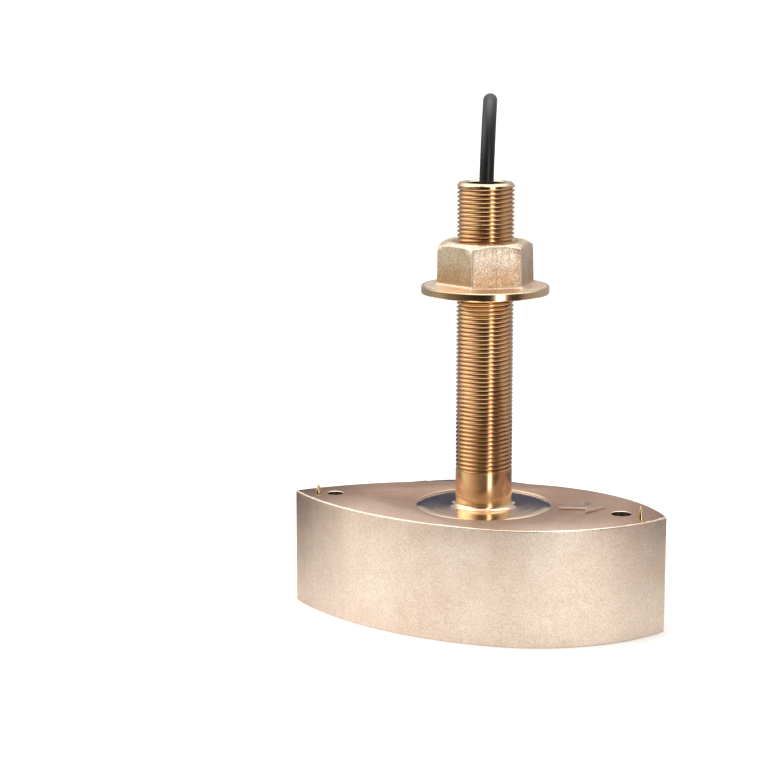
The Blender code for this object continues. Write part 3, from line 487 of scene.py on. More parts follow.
def floor_material():
    n = Nodes("floor_surface")
    point = n.place()
    haze = n.noise(point, 0.004, 2.0, 0.5)
    colour = n.ramp(haze, ((0.3, (0.86, 0.86, 0.86)), (0.7, (0.88, 0.88, 0.875))))
    n.finish(colour, 0.85)
    n.shader.inputs["Emission Color"].default_value = (1, 1, 1, 1)
    n.shader.inputs["Emission Strength"].default_value = 0.16
    return n.material


def add_floor():
    """A pale floor. Its near part shows in the metal, and its far part only closes the view."""
    surface = floor_material()
    near_edge = 260.0
    hub = ring(0.001, -0.2, 96)
    near_rings = [hub, *[ring(r, -0.2, 96) for r in (40.0, 120.0, near_edge)]]
    near = mesh_object("floor_near", loft(near_rings, caps=False), surface)
    turns = [math.radians(a) for a in range(0, 91, 15)]
    bowl = [(5000.0 + 900.0 * math.sin(a), 450.0 * (1 - math.cos(a))) for a in turns]
    rings = [ring(r, -0.2, 96) for r in (near_edge, 1000.0, 2500.0)] + [ring(r, z - 0.2, 96) for r, z in bowl]
    far = mesh_object("floor_far", loft(rings, caps=False), surface)
    far.visible_glossy = False


def light_world():
    """A soft studio: a broad panel at the left, a tall strip at the right and light above."""
    world = bpy.data.worlds.new("studio")
    bpy.context.scene.world = world
    world.use_nodes = True
    tree = world.node_tree
    tree.nodes.clear()

    def add(kind, **settings):
        return add_node(tree, kind, **settings)

    def calc(operation, a, b=0.0, c=0.0):
        node = add("Math", operation=operation)
        for i, value in enumerate((a, b, c)):
            wire(value, node.inputs[i])
        return node.outputs[0]

    direction = add("TexCoord").outputs["Generated"]
    axes = add("SeparateXYZ")
    wire(direction, axes.inputs[0])
    x, y, z = axes.outputs

    def rise_of(sine):
        return calc("ARCSINE", calc("MINIMUM", calc("MAXIMUM", sine, -1.0), 1.0))

    rise = rise_of(z)
    facing = math.radians(VIEW_AZIMUTH)
    turned = calc("SUBTRACT", calc("ARCTAN2", y, x), facing)
    share = calc("FRACT", calc("ADD", calc("DIVIDE", turned, 2 * math.pi), 1.5))
    overhead = add("VectorMath", operation="DOT_PRODUCT")
    wire(direction, overhead.inputs[0])
    tilt = math.radians(15)
    overhead.inputs[1].default_value = (
        -math.cos(facing) * math.sin(tilt), -math.sin(facing) * math.sin(tilt), math.cos(tilt)
    )

    def band(stops):
        """A ramp over the azimuth, from -180 to 180 degrees off the camera's side."""
        node = add("ValToRGB")
        ramp = node.color_ramp
        while len(ramp.elements) < len(stops):
            ramp.elements.new(0.5)
        for element, (angle, level) in zip(ramp.elements, stops):
            element.position = (angle + 180) / 360
            value = level if isinstance(level, tuple) else (level, level, level)
            element.color = (*value, 1.0)
        wire(share, node.inputs[0])
        return node.outputs[0]

    def span(value, low_in, high_in):
        node = add("MapRange", interpolation_type="SMOOTHSTEP")
        for i, v in enumerate((value, math.radians(low_in), math.radians(high_in), 0.0, 1.0)):
            wire(v, node.inputs[i])
        return node.outputs[0]

    def blend(factor, a, b):
        node = add("Mix", data_type="RGBA")
        wire(factor, node.inputs[0])
        for index, v in ((6, a), (7, b)):
            wire((*v, 1.0) if isinstance(v, tuple) else v, node.inputs[index])
        return node.outputs[2]

    behind = (0.52, 0.47, 0.45)
    low_band = band((
        (-180, behind), (-165, 0.50), (-145, (0.32, 0.28, 0.26)), (-125, (0.44, 0.38, 0.31)),
        (-108, (0.70, 0.66, 0.52)), (-92, (0.90, 0.90, 0.70)), (-76, (0.84, 0.80, 0.58)),
        (-61, (0.72, 0.60, 0.44)), (-47, (0.58, 0.42, 0.29)), (-34, (0.40, 0.27, 0.18)),
        (-21, (0.24, 0.16, 0.09)), (-6, (0.13, 0.085, 0.045)), (11, (0.14, 0.10, 0.075)), (17, 0.75),
        (21, 2.4), (28, 2.4), (32, 1.0), (37, (0.22, 0.16, 0.13)), (48, (0.10, 0.065, 0.05)),
        (60, (0.12, 0.08, 0.06)), (72, (0.44, 0.27, 0.21)), (86, (0.42, 0.25, 0.19)),
        (105, (0.20, 0.13, 0.11)), (125, (0.15, 0.12, 0.12)), (150, 0.22), (166, 0.45), (180, behind),
    ))
    level_band = band((
        (-180, behind), (-165, 0.55), (-150, 0.36), (-120, (0.37, 0.36, 0.35)), (-90, (0.43, 0.39, 0.32)),
        (-67, (0.18, 0.145, 0.105)), (-47, (0.10, 0.076, 0.057)), (-28, (0.04, 0.028, 0.019)),
        (-9, (0.018, 0.013, 0.010)), (9, (0.028, 0.025, 0.025)), (16, 0.20), (20, 1.5), (22, 3.2),
        (31, 3.2), (35, 1.5), (40, (0.22, 0.18, 0.17)), (49, (0.08, 0.055, 0.04)), (61, (0.08, 0.055, 0.04)),
        (79, (0.36, 0.31, 0.33)), (105, (0.46, 0.42, 0.44)), (130, (0.48, 0.46, 0.48)),
        (150, 0.42), (165, 0.58), (180, behind),
    ))
    upper_band = band((
        (-180, behind), (-165, 0.5), (-150, 0.42), (-120, 1.4), (-91, 2.10), (-65, 1.60), (-45, 0.75),
        (-25, (0.24, 0.20, 0.17)), (-5, (0.15, 0.12, 0.10)), (12, 0.22), (18, 1.2), (21, 2.1), (28, 2.1),
        (32, 0.8), (37, 0.25), (50, (0.18, 0.14, 0.12)), (62, 0.28), (80, 0.60), (105, 0.70), (130, 0.6),
        (150, 0.45), (165, 0.55), (180, behind),
    ))
    sides = blend(span(rise, 3, 18), blend(span(rise, -12, -9), low_band, level_band), upper_band)
    with_floor = blend(span(rise, -32, -16), (0.92, 0.90, 0.88), sides)
    top = rise_of(overhead.outputs["Value"])
    with_ceiling = blend(span(top, 40, 56), with_floor, (1.5, 1.48, 1.45))
    everywhere = blend(span(top, 60, 74), with_ceiling, (2.8, 2.75, 2.7))
    background = add("Background")
    wire(everywhere, background.inputs[0])
    plain = add("Background")
    plain.inputs[0].default_value = (0.95, 0.95, 0.95, 1.0)
    swap = add("MixShader")
    wire(add("LightPath").outputs["Is Camera Ray"], swap.inputs[0])
    wire(background.outputs[0], swap.inputs[1])
    wire(plain.outputs[0], swap.inputs[2])
    wire(swap.outputs[0], add("OutputWorld").inputs[0])


def add_flag():
    """A dark card behind the object, as photographers hang. Only reflections see it."""
    n = Nodes("flag_surface")
    haze = n.noise(n.place(), 0.02, 2.0, 0.5)
    tone = n.ramp(haze, ((0.3, (0.042, 0.050, 0.100)), (0.7, (0.050, 0.062, 0.120))))
    n.finish((0.02, 0.02, 0.02, 1.0), 1.0)
    n.tree.links.new(tone, n.shader.inputs["Emission Color"])
    n.shader.inputs["Emission Strength"].default_value = 1.0
    facing = math.radians(VIEW_AZIMUTH)
    middle = Vector((STEM_X - CARD_BEHIND * math.cos(facing), -CARD_BEHIND * math.sin(facing)))
    side = Vector((-math.sin(facing), math.cos(facing))) * CARD_HALF_WIDTH
    shape = bmesh.new()
    low = [(*(middle + side * k), CARD_HEIGHTS[0]) for k in (-1.0, -0.5, 0.0, 0.5, 1.0)]
    high = [(px, py, CARD_HEIGHTS[1]) for px, py, pz in reversed(low)]
    shape.faces.new([shape.verts.new(p) for p in low + high])
    flag = mesh_object("flag_card", shape, n.material)
    flag.visible_camera = False
    flag.visible_diffuse = False
    flag.visible_shadow = False


def add_light(name, place, aim, size, power):
    lamp = bpy.data.lights.new(name, "AREA")
    lamp.shape = "RECTANGLE"
    lamp.size = size[0]
    lamp.size_y = size[1]
    lamp.energy = power
    item = bpy.data.objects.new(name, lamp)
    bpy.context.scene.collection.objects.link(item)
    item.location = place
    item.rotation_euler = (Vector(aim) - Vector(place)).to_track_quat("-Z", "Y").to_euler()
    item.visible_glossy = False


add_camera()
scene = bpy.context.scene
scene.view_settings.view_transform = "Standard"
scene.view_settings.look = "None"
add_floor()
add_flag()
light_world()
add_light("key_light", (-0.9, -0.9, 1.5), (0.0, 0.0, 0.06), (0.9, 0.9), 9.0)


# The cable

LOOP_HEADING = (-0.2534, 0.9674)
LOOP_REACH = (WIDTH / 2 + 9.4) / LOOP_HEADING[1]
LOOP_ROUTE = (
    (0.000, 0.3, 3.0), (0.010, 0.6, 13.0), (0.073, 1.0, 23.5), (0.204, 1.4, 32.5), (0.375, 1.7, 37.2),
    (0.562, 1.8, 37.8), (0.741, 1.7, 33.2), (0.884, 1.3, 24.5), (0.969, 0.8, 12.5), (0.997, 0.3, -4.0),
    (1.000, 0.0, -30.0),
)
HANGING_POINTS = 4
LANDING_HEADING = (0.838, 0.544)
LANDING_ROUTE = ((1.0, 39.8), (5.0, 25.8), (13.0, 14.3), (24.0, 7.0))
CROSSING_ROUTE = (
    (-42.0, 77.0), (-26.0, 71.5), (-8.0, 64.5), (12.0, 56.5), (34.0, 48.0), (58.0, 40.0), (84.0, 33.5),
    (106.0, 28.5),
)
STEP_OVER = (113.0, 155.0)
FOOT_STEP_OVER = (280.0, 325.0)
COIL_STEP = 6.0
TAIL_ANGLE = 280.0
TAIL_LENGTH = 52.0
TAIL_RISES_FROM = 16.0
TAIL_LEVEL_FROM = 48.0
COLLAR_R = 10.5


def coil_point(angle, radius, height):
    a = math.radians(angle)
    return Vector((COIL[0] + radius * math.cos(a), COIL[1] + radius * math.sin(a), height))


def catmull(points, per_span):
    out = []
    for k in range(len(points) - 1):
        p0, p1 = points[max(k - 1, 0)], points[k]
        p2, p3 = points[k + 1], points[min(k + 2, len(points) - 1)]
        for i in range(per_span):
            t = i / per_span
            out.append(0.5 * (2 * p1 + (p2 - p0) * t + (2 * p0 - 5 * p1 + 4 * p2 - p3) * t**2
                              + (3 * p1 - p0 - 3 * p2 + p3) * t**3))
    out.append(points[-1])
    return out


def free_route():
    back = Vector((*LOOP_HEADING, 0.0))
    aside = Vector((LOOP_HEADING[1], -LOOP_HEADING[0], 0.0))
    stem = Vector((STEM_X, 0.0, STEM_TOP))
    route = [Vector((STEM_X, 0.0, BORE_FLOOR + 0.5))]
    for share, across, up in LOOP_ROUTE:
        route.append(stem + back * share * LOOP_REACH + aside * across + Vector((0.0, 0.0, up)))
    foot = Vector((route[-1].x, route[-1].y, COIL_TOP))
    heading = Vector((*LANDING_HEADING, 0.0))
    landing = [foot + heading * run + Vector((0.0, 0.0, up)) for run, up in LANDING_ROUTE]
    hang_top = route[-1]
    for k in range(1, HANGING_POINTS):
        route.append(hang_top.lerp(landing[0], k / HANGING_POINTS))
    route.extend(landing)
    for angle, radius in CROSSING_ROUTE:
        route.append(coil_point(angle, radius, COIL_TOP + 0.3 + CABLE_R))
    return route


def ease(t):
    t = min(max(t, 0.0), 1.0)
    return t * t * (3 - 2 * t)


def within(angle, sector):
    """How far through a sector an angle is, or None outside it."""
    a = (angle - sector[0]) % 360
    width = sector[1] - sector[0]
    return a / width if a <= width else None


def humps(angle, layer):
    """How much a layer is lifted where turns cross over those under it."""
    lift = 0.0
    low = within(angle, FOOT_STEP_OVER)
    main = within(angle, STEP_OVER)
    if low is not None and layer > 0:
        lift += 0.99 * math.sin(math.pi * low) ** 2
    if main is not None and layer > 0:
        lift += 0.99 * math.sin(math.pi * main) ** 2
    if main is not None and layer > 1:
        lift += 0.99 * math.sin(2 * math.pi * main) ** 2
    return lift


def coil_route():
    """Layer by layer down from the top: out, in and out again, with a step over once a turn."""
    d = 2 * CABLE_R
    heights = [COIL_FOOT + CABLE_R + k * LAYER_RISE for k in range(3)]
    start, end = STEP_OVER
    points = []

    def sweep(first, last, r0, r1, z0, z1, layer):
        count = max(2, round((last - first) / COIL_STEP))
        for i in range(count):
            t = i / count
            angle = first + (last - first) * t
            radius = r0 + (r1 - r0) * ease(t)
            height = z0 + (z1 - z0) * ease(t) + humps(angle, layer)
            points.append(coil_point(angle, radius, height))

    over = COIL_TOP + 0.3 + CABLE_R
    sweep(start, end, 27.2, INNER_TURN, over, heights[2], 2)
    radius = INNER_TURN
    for k in range(8):
        sweep(end, start + 360, radius, radius, heights[2], heights[2], 2)
        if k < 7:
            sweep(start, end, radius, radius + d, heights[2], heights[2], 2)
            radius += d
    sweep(start, end, radius, radius + d / 2, heights[2], heights[1], 1)
    radius += d / 2
    for k in range(8):
        sweep(end, start + 360, radius, radius, heights[1], heights[1], 1)
        if k < 7:
            sweep(start, end, radius, radius - d, heights[1], heights[1], 1)
            radius -= d
    sweep(start, end, radius, INNER_TURN, heights[1], heights[0], 0)
    radius = INNER_TURN
    begin, finish = FOOT_STEP_OVER
    sweep(end, begin, radius, radius, heights[0], heights[0], 0)
    for k in range(8):
        sweep(begin, finish, radius, radius + d, heights[0], heights[0], 0)
        radius += d
        sweep(finish, begin + 360, radius, radius, heights[0], heights[0], 0)
    return points


def tail_direction():
    a = math.radians(TAIL_ANGLE)
    return Vector((-math.sin(a), math.cos(a), 0.0))


def tail_place(run, height):
    start = coil_point(TAIL_ANGLE, INNER_TURN + 8 * 2 * CABLE_R, 0.0)
    return start + tail_direction() * run + Vector((0.0, 0.0, height))


def tail_height(run):
    low = COIL_FOOT + CABLE_R
    return low + (COLLAR_R - low) * ease((run - TAIL_RISES_FROM) / (TAIL_LEVEL_FROM - TAIL_RISES_FROM))


def cable_points():
    free = free_route()
    points = catmull(free, 4)
    points += coil_route()
    points += [tail_place(run, tail_height(run)) for run in np.arange(0.0, TAIL_LENGTH + 0.1, 4.0)]
    return points


def add_tube(name, points, radius, mat, sides=4):
    curve = bpy.data.curves.new(name, "CURVE")
    curve.dimensions = "3D"
    curve.bevel_depth = radius * MM
    curve.bevel_resolution = sides
    curve.use_fill_caps = True
    spline = curve.splines.new("POLY")
    spline.points.add(len(points) - 1)
    for place, point in zip(spline.points, points):
        place.co = (*(Vector(point) * MM), 1.0)
    spline.use_smooth = True
    curve.materials.append(mat)
    item = bpy.data.objects.new(name, curve)
    bpy.context.scene.collection.objects.link(item)
    return item


def along_tail(shape, run):
    direction = tail_direction()
    side = Vector((-direction.y, direction.x, 0.0))
    turn = Matrix((side, Vector((0.0, 0.0, 1.0)), direction)).transposed().to_4x4()
    shape.transform(Matrix.Translation(tail_place(run, COLLAR_R)) @ turn)
    return shape


def fluted(profile, n, depth_at, teeth):
    """A turned shape with grooves along it: depth_at gives their depth at a height."""
    rings = []
    for r, z in profile:
        depth = depth_at(r, z)
        points = []
        for i in range(n):
            a = 2 * math.pi * i / n
            wave = 0.5 - 0.5 * math.cos(teeth * a)
            radius = r - depth * wave**2
            points.append((radius * math.cos(a), radius * math.sin(a), z))
        rings.append(points)
    return rings


def build_connector():
    boot_profile = [(4.6, 0.0), (5.2, 0.6)]
    for k in range(5):
        z = 1.8 + 3.0 * k
        r = 5.3 + 1.7 * (z / 20.0)
        boot_profile += [(r, z), (r + 0.25, z + 0.4), (r + 0.3, z + 1.3)]
        boot_profile += [(r - 0.55, z + 1.7), (r - 0.5, z + 2.4)]
    boot_profile += [(7.9, 17.6), (8.1, 18.4), (8.1, 20.0), (3.0, 20.0)]
    boot_run = TAIL_LENGTH + 0.3
    boot = mesh_object("connector_boot_moulded", along_tail(lathe(boot_profile, 48), boot_run), JACKET)
    body_run = boot_run + 20.0 + 0.3
    body_profile = [(7.6, 0.0), (8.6, 0.3), (9.0, 0.9)]
    body_profile += [(9.0, 1.4 + 0.4 * i) for i in range(28)]
    body_profile += [(9.0, 13.2), (8.7, 13.9), (7.6, 14.0), (7.6, 23.5), (6.4, 23.6)]

    def grip(r, z):
        return 0.55 if 2.4 < z < 11.8 and r > 8.9 else 0.0

    body_shape = along_tail(loft(fluted(body_profile, 144, grip, 24)), body_run)
    body = mesh_object("connector_body_moulded", body_shape, NYLON)
    collar_run = body_run + 14.3
    collar_profile = [(9.1, 0.0), (10.0, 0.1), (10.4, 0.5), (10.5, 1.0)]
    collar_profile += [(10.5, 1.4 + 0.5 * i) for i in range(24)]
    collar_profile += [(10.5, 13.6), (10.1, 14.1), (10.1, 15.6), (9.8, 16.0), (9.2, 16.0)]
    collar_profile += [(9.1, 15.6), (9.1, 0.4)]

    def flute(r, z):
        return 0.5 if 1.6 < z < 13.2 and r > 10.4 else 0.0

    rings = fluted(collar_profile, 160, flute, 20)
    collar = mesh_object("connector_collar_moulded", along_tail(loft(rings, closed=True), collar_run), NYLON)
    face_run = body_run + 24.0
    face_shape = lathe([(7.4, 0.0), (7.5, 0.1), (7.5, 1.9), (7.3, 2.1)], 48)
    face = mesh_object("connector_face", along_tail(face_shape, face_run), INSERT)
    shape = bmesh.new()
    for k in range(7):
        a = 2 * math.pi * k / 7
        place = (4.2 * math.cos(a), 4.2 * math.sin(a))
        pin = lathe([(0.6, 1.9), (0.6, 5.4), (0.5, 5.8), (0.25, 6.0)], 14, place)
        scratch = bpy.data.meshes.new("contact")
        pin.to_mesh(scratch)
        pin.free()
        shape.from_mesh(scratch)
        bpy.data.meshes.remove(scratch)
    contacts = mesh_object("connector_contacts", along_tail(shape, face_run), GILT)
    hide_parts("connector_boot")
    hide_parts("connector_body")
    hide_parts("connector_collar")
    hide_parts("connector_insert")
    return [boot, body, collar, face, contacts]


def build_tie(name, angle, node):
    """A woven strap closed round the turns, with its free end lapped over the outer side."""
    d = 2 * CABLE_R
    inner = INNER_TURN - CABLE_R - 1.0
    rim = INNER_TURN + 8 * d + CABLE_R
    top_rim = INNER_TURN + 7 * d + CABLE_R
    path = [
        (inner, 1.4), (inner + 0.4, 0.65), (inner + 1.2, 0.35), (rim - 1.6, 0.35), (rim - 0.2, 0.8),
        (rim + 0.5, 2.0), (rim + 0.65, 5.6), (rim - 0.2, 8.0), (top_rim + 1.4, COIL_TOP - 0.8),
        (top_rim + 0.2, COIL_TOP + 0.3), (top_rim - 1.6, COIL_TOP + 0.65), (inner + 1.2, COIL_TOP + 0.65),
        (inner + 0.3, COIL_TOP + 0.1), (inner, COIL_TOP - 1.0),
    ]
    count = len(path)
    shape = bmesh.new()
    rows = []
    section = [
        (-4.7, -0.3), (-4.9, 0.0), (-4.7, 0.3), (-2.0, 0.34), (0.0, 0.35), (2.0, 0.34), (4.7, 0.3),
        (4.9, 0.0), (4.7, -0.3), (0.0, -0.32),
    ]
    for k in range(count):
        before = Vector(path[k - 1])
        after = Vector(path[(k + 1) % count])
        out = (after - before).normalized()
        out = Vector((out.y, -out.x))
        r, z = path[k]
        rows.append([shape.verts.new((r + out.x * v, u, z + out.y * v)) for u, v in section])
    for k in range(count):
        low, high = rows[k], rows[(k + 1) % count]
        for i in range(len(section)):
            j = (i + 1) % len(section)
            shape.faces.new((low[i], low[j], high[j], high[i]))
    lap = bmesh.ops.create_cube(shape, size=1.0)["verts"]
    bmesh.ops.scale(shape, vec=(26.0, 9.4, 0.6), verts=lap)
    bmesh.ops.translate(shape, vec=(top_rim - 18.0, 0.0, COIL_TOP + 1.25), verts=lap)
    turn = Matrix.Rotation(math.radians(angle), 4, "Z")
    shape.transform(Matrix.Translation((*COIL, 0.0)) @ turn)
    tie = mesh_object(name, shape, STRAP)
    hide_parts(node)
    return tie


cable = add_tube("cable_run", cable_points(), CABLE_R, JACKET)
on_cable = build_connector()
on_cable += [build_tie("coil_strap_a", -95.0, "coil_tie_1"), build_tie("coil_strap_b", -165.0, "coil_tie_2")]
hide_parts("cable", "cable_coil", "cable_tail")
for item in [cable, *on_cable]:
    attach(item, "body")


# The housing

def side_arc(reach):
    half = WIDTH / 2
    run = reach - TIP
    return (run**2 + half**2 - TIP**2) / (2 * (half - TIP))


AFT_ARC = side_arc(LENGTH / 2 + WIDEST)
FORE_ARC = side_arc(LENGTH / 2 - WIDEST)


def half_width(x, inset=0.0):
    radius = AFT_ARC if x < WIDEST else FORE_ARC
    return WIDTH / 2 - radius + math.sqrt(max((radius - inset) ** 2 - (x - WIDEST) ** 2, 0.0))


def outline(inset=0.0, steps=56):
    points = []
    port = []
    for centre_x, radius, sign in ((LENGTH / 2 - TIP, FORE_ARC, 1), (-LENGTH / 2 + TIP, AFT_ARC, -1)):
        lean = math.atan2(radius - WIDTH / 2, abs(centre_x - WIDEST))
        tip = []
        for i in range(7):
            a = lean * (2 * i / 6 - 1)
            r = TIP - inset
            tip.append((centre_x + sign * r * math.cos(a), r * math.sin(a)))
        points.append(tip)
    fore, aft = points
    for i in range(1, steps):
        x = fore[-1][0] + (WIDEST - fore[-1][0]) * i / steps
        port.append((x, half_width(x, inset)))
    port.append((WIDEST, half_width(WIDEST, inset)))
    for i in range(1, steps):
        x = WIDEST + (aft[-1][0] - WIDEST) * i / steps
        port.append((x, half_width(x, inset)))
    starboard = [(x, -y) for x, y in reversed(port)]
    return fore + port + list(reversed(aft)) + starboard


def chamber_outline(steps=44):
    corner = 4.0
    aft, fore = CHAMBER
    port = []
    for i in range(5):
        a = math.radians(90 * i / 4)
        x = fore - corner + corner * math.cos(a)
        port.append((x, half_width(fore - corner, WALL) - corner + corner * math.sin(a)))
    for i in range(1, steps):
        x = fore - corner + (aft - fore + 2 * corner) * i / steps
        port.append((x, half_width(x, WALL)))
    for i in range(5):
        a = math.radians(90 + 90 * i / 4)
        x = aft + corner + corner * math.cos(a)
        port.append((x, half_width(aft + corner, WALL) - corner + corner * math.sin(a)))
    return port + [(x, -y) for x, y in reversed(port)]


def build_shell():
    """The cast body, with a slightly uneven rounded edge, its holes and its chamber."""
    edge = 0.75
    rings = []
    heights = [(0.0, 0.35), (0.35, 0.0), (14.0, 0.0), (29.0, 0.0), (44.0, 0.0), (HEIGHT - edge, 0.0)]
    for degrees in (22, 45, 68, 90):
        a = math.radians(degrees)
        heights.append((HEIGHT - edge * (1 - math.sin(a)), edge * (1 - math.cos(a))))
    for z, inset in heights:
        row = []
        for x, y in outline(inset):
            wave = noise.noise(Vector((x * 0.11, y * 0.11, z * 0.05))) * 0.10
            fine = noise.noise(Vector((x * 0.55, y * 0.55, z * 0.4))) * 0.05
            at_edge = z > HEIGHT - 1.0
            push = (wave + fine) * (1.0 if at_edge else 0.35)
            side = math.hypot(x, y)
            sink = abs(push) * 0.6 if at_edge and inset < edge * 0.99 else 0.0
            row.append((x - push * x / side * 0.2, y - push * (1 if y > 0 else -1), z - sink))
        rings.append(row)
    shell = mesh_object("cast_shell", loft(rings), CAST)
    lip = 0.28
    axis = (STEM_X, 0.0)
    spot = [
        (SPOT_R, SPOT_Z - 0.45), (SPOT_R, HEIGHT - lip), (SPOT_R + 0.1, HEIGHT - 0.1),
        (SPOT_R + lip, HEIGHT), (SPOT_R + lip * 2, HEIGHT + 1.0),
    ]
    cut(shell, lathe(spot, 160, axis))
    chamber = chamber_outline()
    cut(shell, loft([[(x, y, z) for x, y in chamber] for z in (-5.0, HEIGHT - ROOF)]))
    cut(shell, lathe([(BORE_R + 1.0, HEIGHT - ROOF - 1.0), (BORE_R + 1.0, SPOT_Z + 1.0)], 48, axis))
    for x, radius in HOLES:
        profile = [
            (radius * 0.15, HEIGHT - 27.2), (radius, HEIGHT - 25.0), (radius, HEIGHT - 0.5),
            (radius + 0.1, HEIGHT - 0.2), (radius + 0.4, HEIGHT), (radius + 1.0, HEIGHT + 0.6),
        ]
        cut(shell, lathe(profile, 48, (x, 0.0)))
    for place, radius in ((AFT_PIN, 1.9), (FORE_PIN, 2.05)):
        profile = [(radius, HEIGHT - 10.3), (radius, HEIGHT - 0.15), (radius + 0.3, HEIGHT + 0.2)]
        cut(shell, lathe(profile, 24, place))
    smooth_sharp(shell, 32.0)
    shell.data.materials.clear()
    for surface in (CAST, WORN, HOLE_SHADE):
        shell.data.materials.append(surface)
    for face in shell.data.polygons:
        centre = face.center / MM
        sloped = 0.12 < face.normal.z < 0.97
        in_hole = min(math.hypot(centre.x - x, centre.y) for x, radius in HOLES) < 5.2
        # Faces inside the bolt holes get the painted shade
        if in_hole and centre.z < HEIGHT - 0.3:
            face.material_index = 2
        elif sloped and centre.z > HEIGHT - 0.9:
            face.material_index = 1
        else:
            face.material_index = 0
    return shell


def thread_column(angle_share):
    """One upright line of the stem's skin, from the spot face over the thread into the bore."""
    fillet = 3.0
    column = [
        (6.0, SPOT_Z - 0.40), (SPOT_R - 0.45, SPOT_Z - 0.40), (SPOT_R - 0.12, SPOT_Z - 0.30),
        (SPOT_R - 0.05, SPOT_Z - 0.12), (SPOT_R - 0.2, SPOT_Z),
    ]
    column += [(r, SPOT_Z) for r in (30.0, 24.0, 19.0)]
    for i in range(9):
        a = math.radians(90 * i / 8)
        column.append((STEM_R + fillet * (1 - math.sin(a)), SPOT_Z + fillet * (1 - math.cos(a))))
    column += [(STEM_R, z) for z in (64.0, 70.0, 75.0, THREAD_FOOT - 1.2)]
    groove_depth = 1.25
    top_cut = STEM_TOP - 1.2
    low = THREAD_FOOT - 0.6
    shape = (
        (0.0, 1.0), (0.085, 0.97), (0.13, 0.86), (0.40, 0.06), (0.43, 0.0), (0.57, 0.0), (0.60, 0.06),
        (0.87, 0.86), (0.915, 0.97),
    )
    turns = int((STEM_TOP - low) / PITCH) + 2
    for i in range(-1, turns):
        for u, share in shape:
            z = low + PITCH * (i + u + angle_share)
            z = min(max(z, low), STEM_TOP - 0.02)
            fade = ease((z - low) / 1.3) * ease((STEM_TOP - 1.7 - z) / 0.8)
            r = STEM_R - groove_depth * share * fade
            if z > top_cut:
                r = min(r, STEM_R - (z - top_cut) * 0.9)
            column.append((r, z))
    r_top = STEM_R - (STEM_TOP - top_cut) * 0.9
    column += [(r_top, STEM_TOP), (BORE_R + 0.7, STEM_TOP), (BORE_R, STEM_TOP - 0.7)]
    column += [(BORE_R, 218.0), (BORE_R, BORE_FLOOR - 2.0), (6.0, BORE_FLOOR - 2.0)]
    return column


def build_stem():
    columns = 96
    shape = bmesh.new()
    rows = []
    for j in range(columns + 1):
        a = 2 * math.pi * j / columns
        rows.append([
            shape.verts.new((STEM_X + r * math.cos(a), r * math.sin(a), z))
            for r, z in thread_column(j / columns)
        ])
    for left, right in zip(rows, rows[1:]):
        for k in range(len(left) - 1):
            shape.faces.new((left[k], right[k], right[k + 1], left[k + 1]))
    bmesh.ops.remove_doubles(shape, verts=shape.verts, dist=0.0008)
    bmesh.ops.dissolve_degenerate(shape, edges=shape.edges, dist=0.0008)
    return mesh_object("turned_stem", shape, TURNED, 40.0)


def build_arrow():
    """The raised arrow cast on the top, which points to the bow end."""
    turn = math.radians(14)
    centre = Vector((43.0, 2.0))
    cosine, sine = math.cos(turn), math.sin(turn)
    points = [(-1.0, -3.3), (12.2, -3.3), (12.2, -10.8), (22.0, 0.0), (12.2, 10.8), (12.2, 3.3), (-1.0, 3.3)]
    rows = []
    for inset, z in ((-0.2, HEIGHT - 0.1), (0.0, HEIGHT + 0.5), (0.35, HEIGHT + 1.2), (0.75, HEIGHT + 1.3)):
        row = []
        for x, y in points:
            x = x - inset if x > 12.3 else (x + inset * (1 if x <= 12.2 else 0))
            y = y - math.copysign(inset, y) if y else 0.0
            row.append((centre.x + x * cosine - y * sine, centre.y + x * sine + y * cosine, z))
        rows.append(row)
    arrow = mesh_object("bow_arrow", loft(rows), ARROW, 30.0)
    step = arrow.modifiers.new("soften", "BEVEL")
    step.width = 0.25 * MM
    step.segments = 2
    step.limit_method = "ANGLE"
    apply_modifiers(arrow)
    smooth_sharp(arrow, 60.0)
    return arrow


def build_pins():
    pins = []
    radius = 1.6
    for name, node, place, height in (
        ("pin_aft_turned", "pin_aft", AFT_PIN, 5.7), ("pin_fore_turned", "pin_fore", FORE_PIN, 7.5)
    ):
        tip = HEIGHT + height
        profile = [(radius * 0.8, HEIGHT - 10.0), (radius, HEIGHT - 9.6), (radius, HEIGHT)]
        profile += [
            (radius * (0.10 + 0.90 * math.cos(math.radians(a)) ** 0.85), HEIGHT + height * a / 90)
            for a in range(8, 84, 8)
        ]
        profile += [(radius * 0.18, tip - height * 0.03), (radius * 0.05, tip)]
        pin = mesh_object(name, lathe(profile, 28, place), PIN_METAL, 50.0)
        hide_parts(node)
        pins.append(pin)
    return pins


# The nut

def hex_outline(flats):
    """A hexagon with rounded corners, with its points close together round the corners."""
    corner = (flats / 2 - HEX_CORNER_R) / math.cos(math.pi / 6)
    points = []
    for k in range(6):
        middle = math.radians(60 * k - 90)
        turns = [middle + math.radians(10 * i) for i in range(-3, 4)]
        x, y = corner * math.cos(middle), corner * math.sin(middle)
        bend = [
            Vector((x + HEX_CORNER_R * math.cos(a), y + HEX_CORNER_R * math.sin(a))) for a in turns
        ]
        points.extend(bend)
        turn = Matrix.Rotation(math.radians(60), 2)
        points.extend(bend[-1].lerp(turn @ bend[0], i / 11) for i in range(1, 11))
    return points


def soft_min(a, b, reach):
    """The smaller of two values, with a rounded change from one to the other."""
    near = max(reach - abs(a - b), 0.0) / reach
    return min(a, b) - near**2 * reach / 4


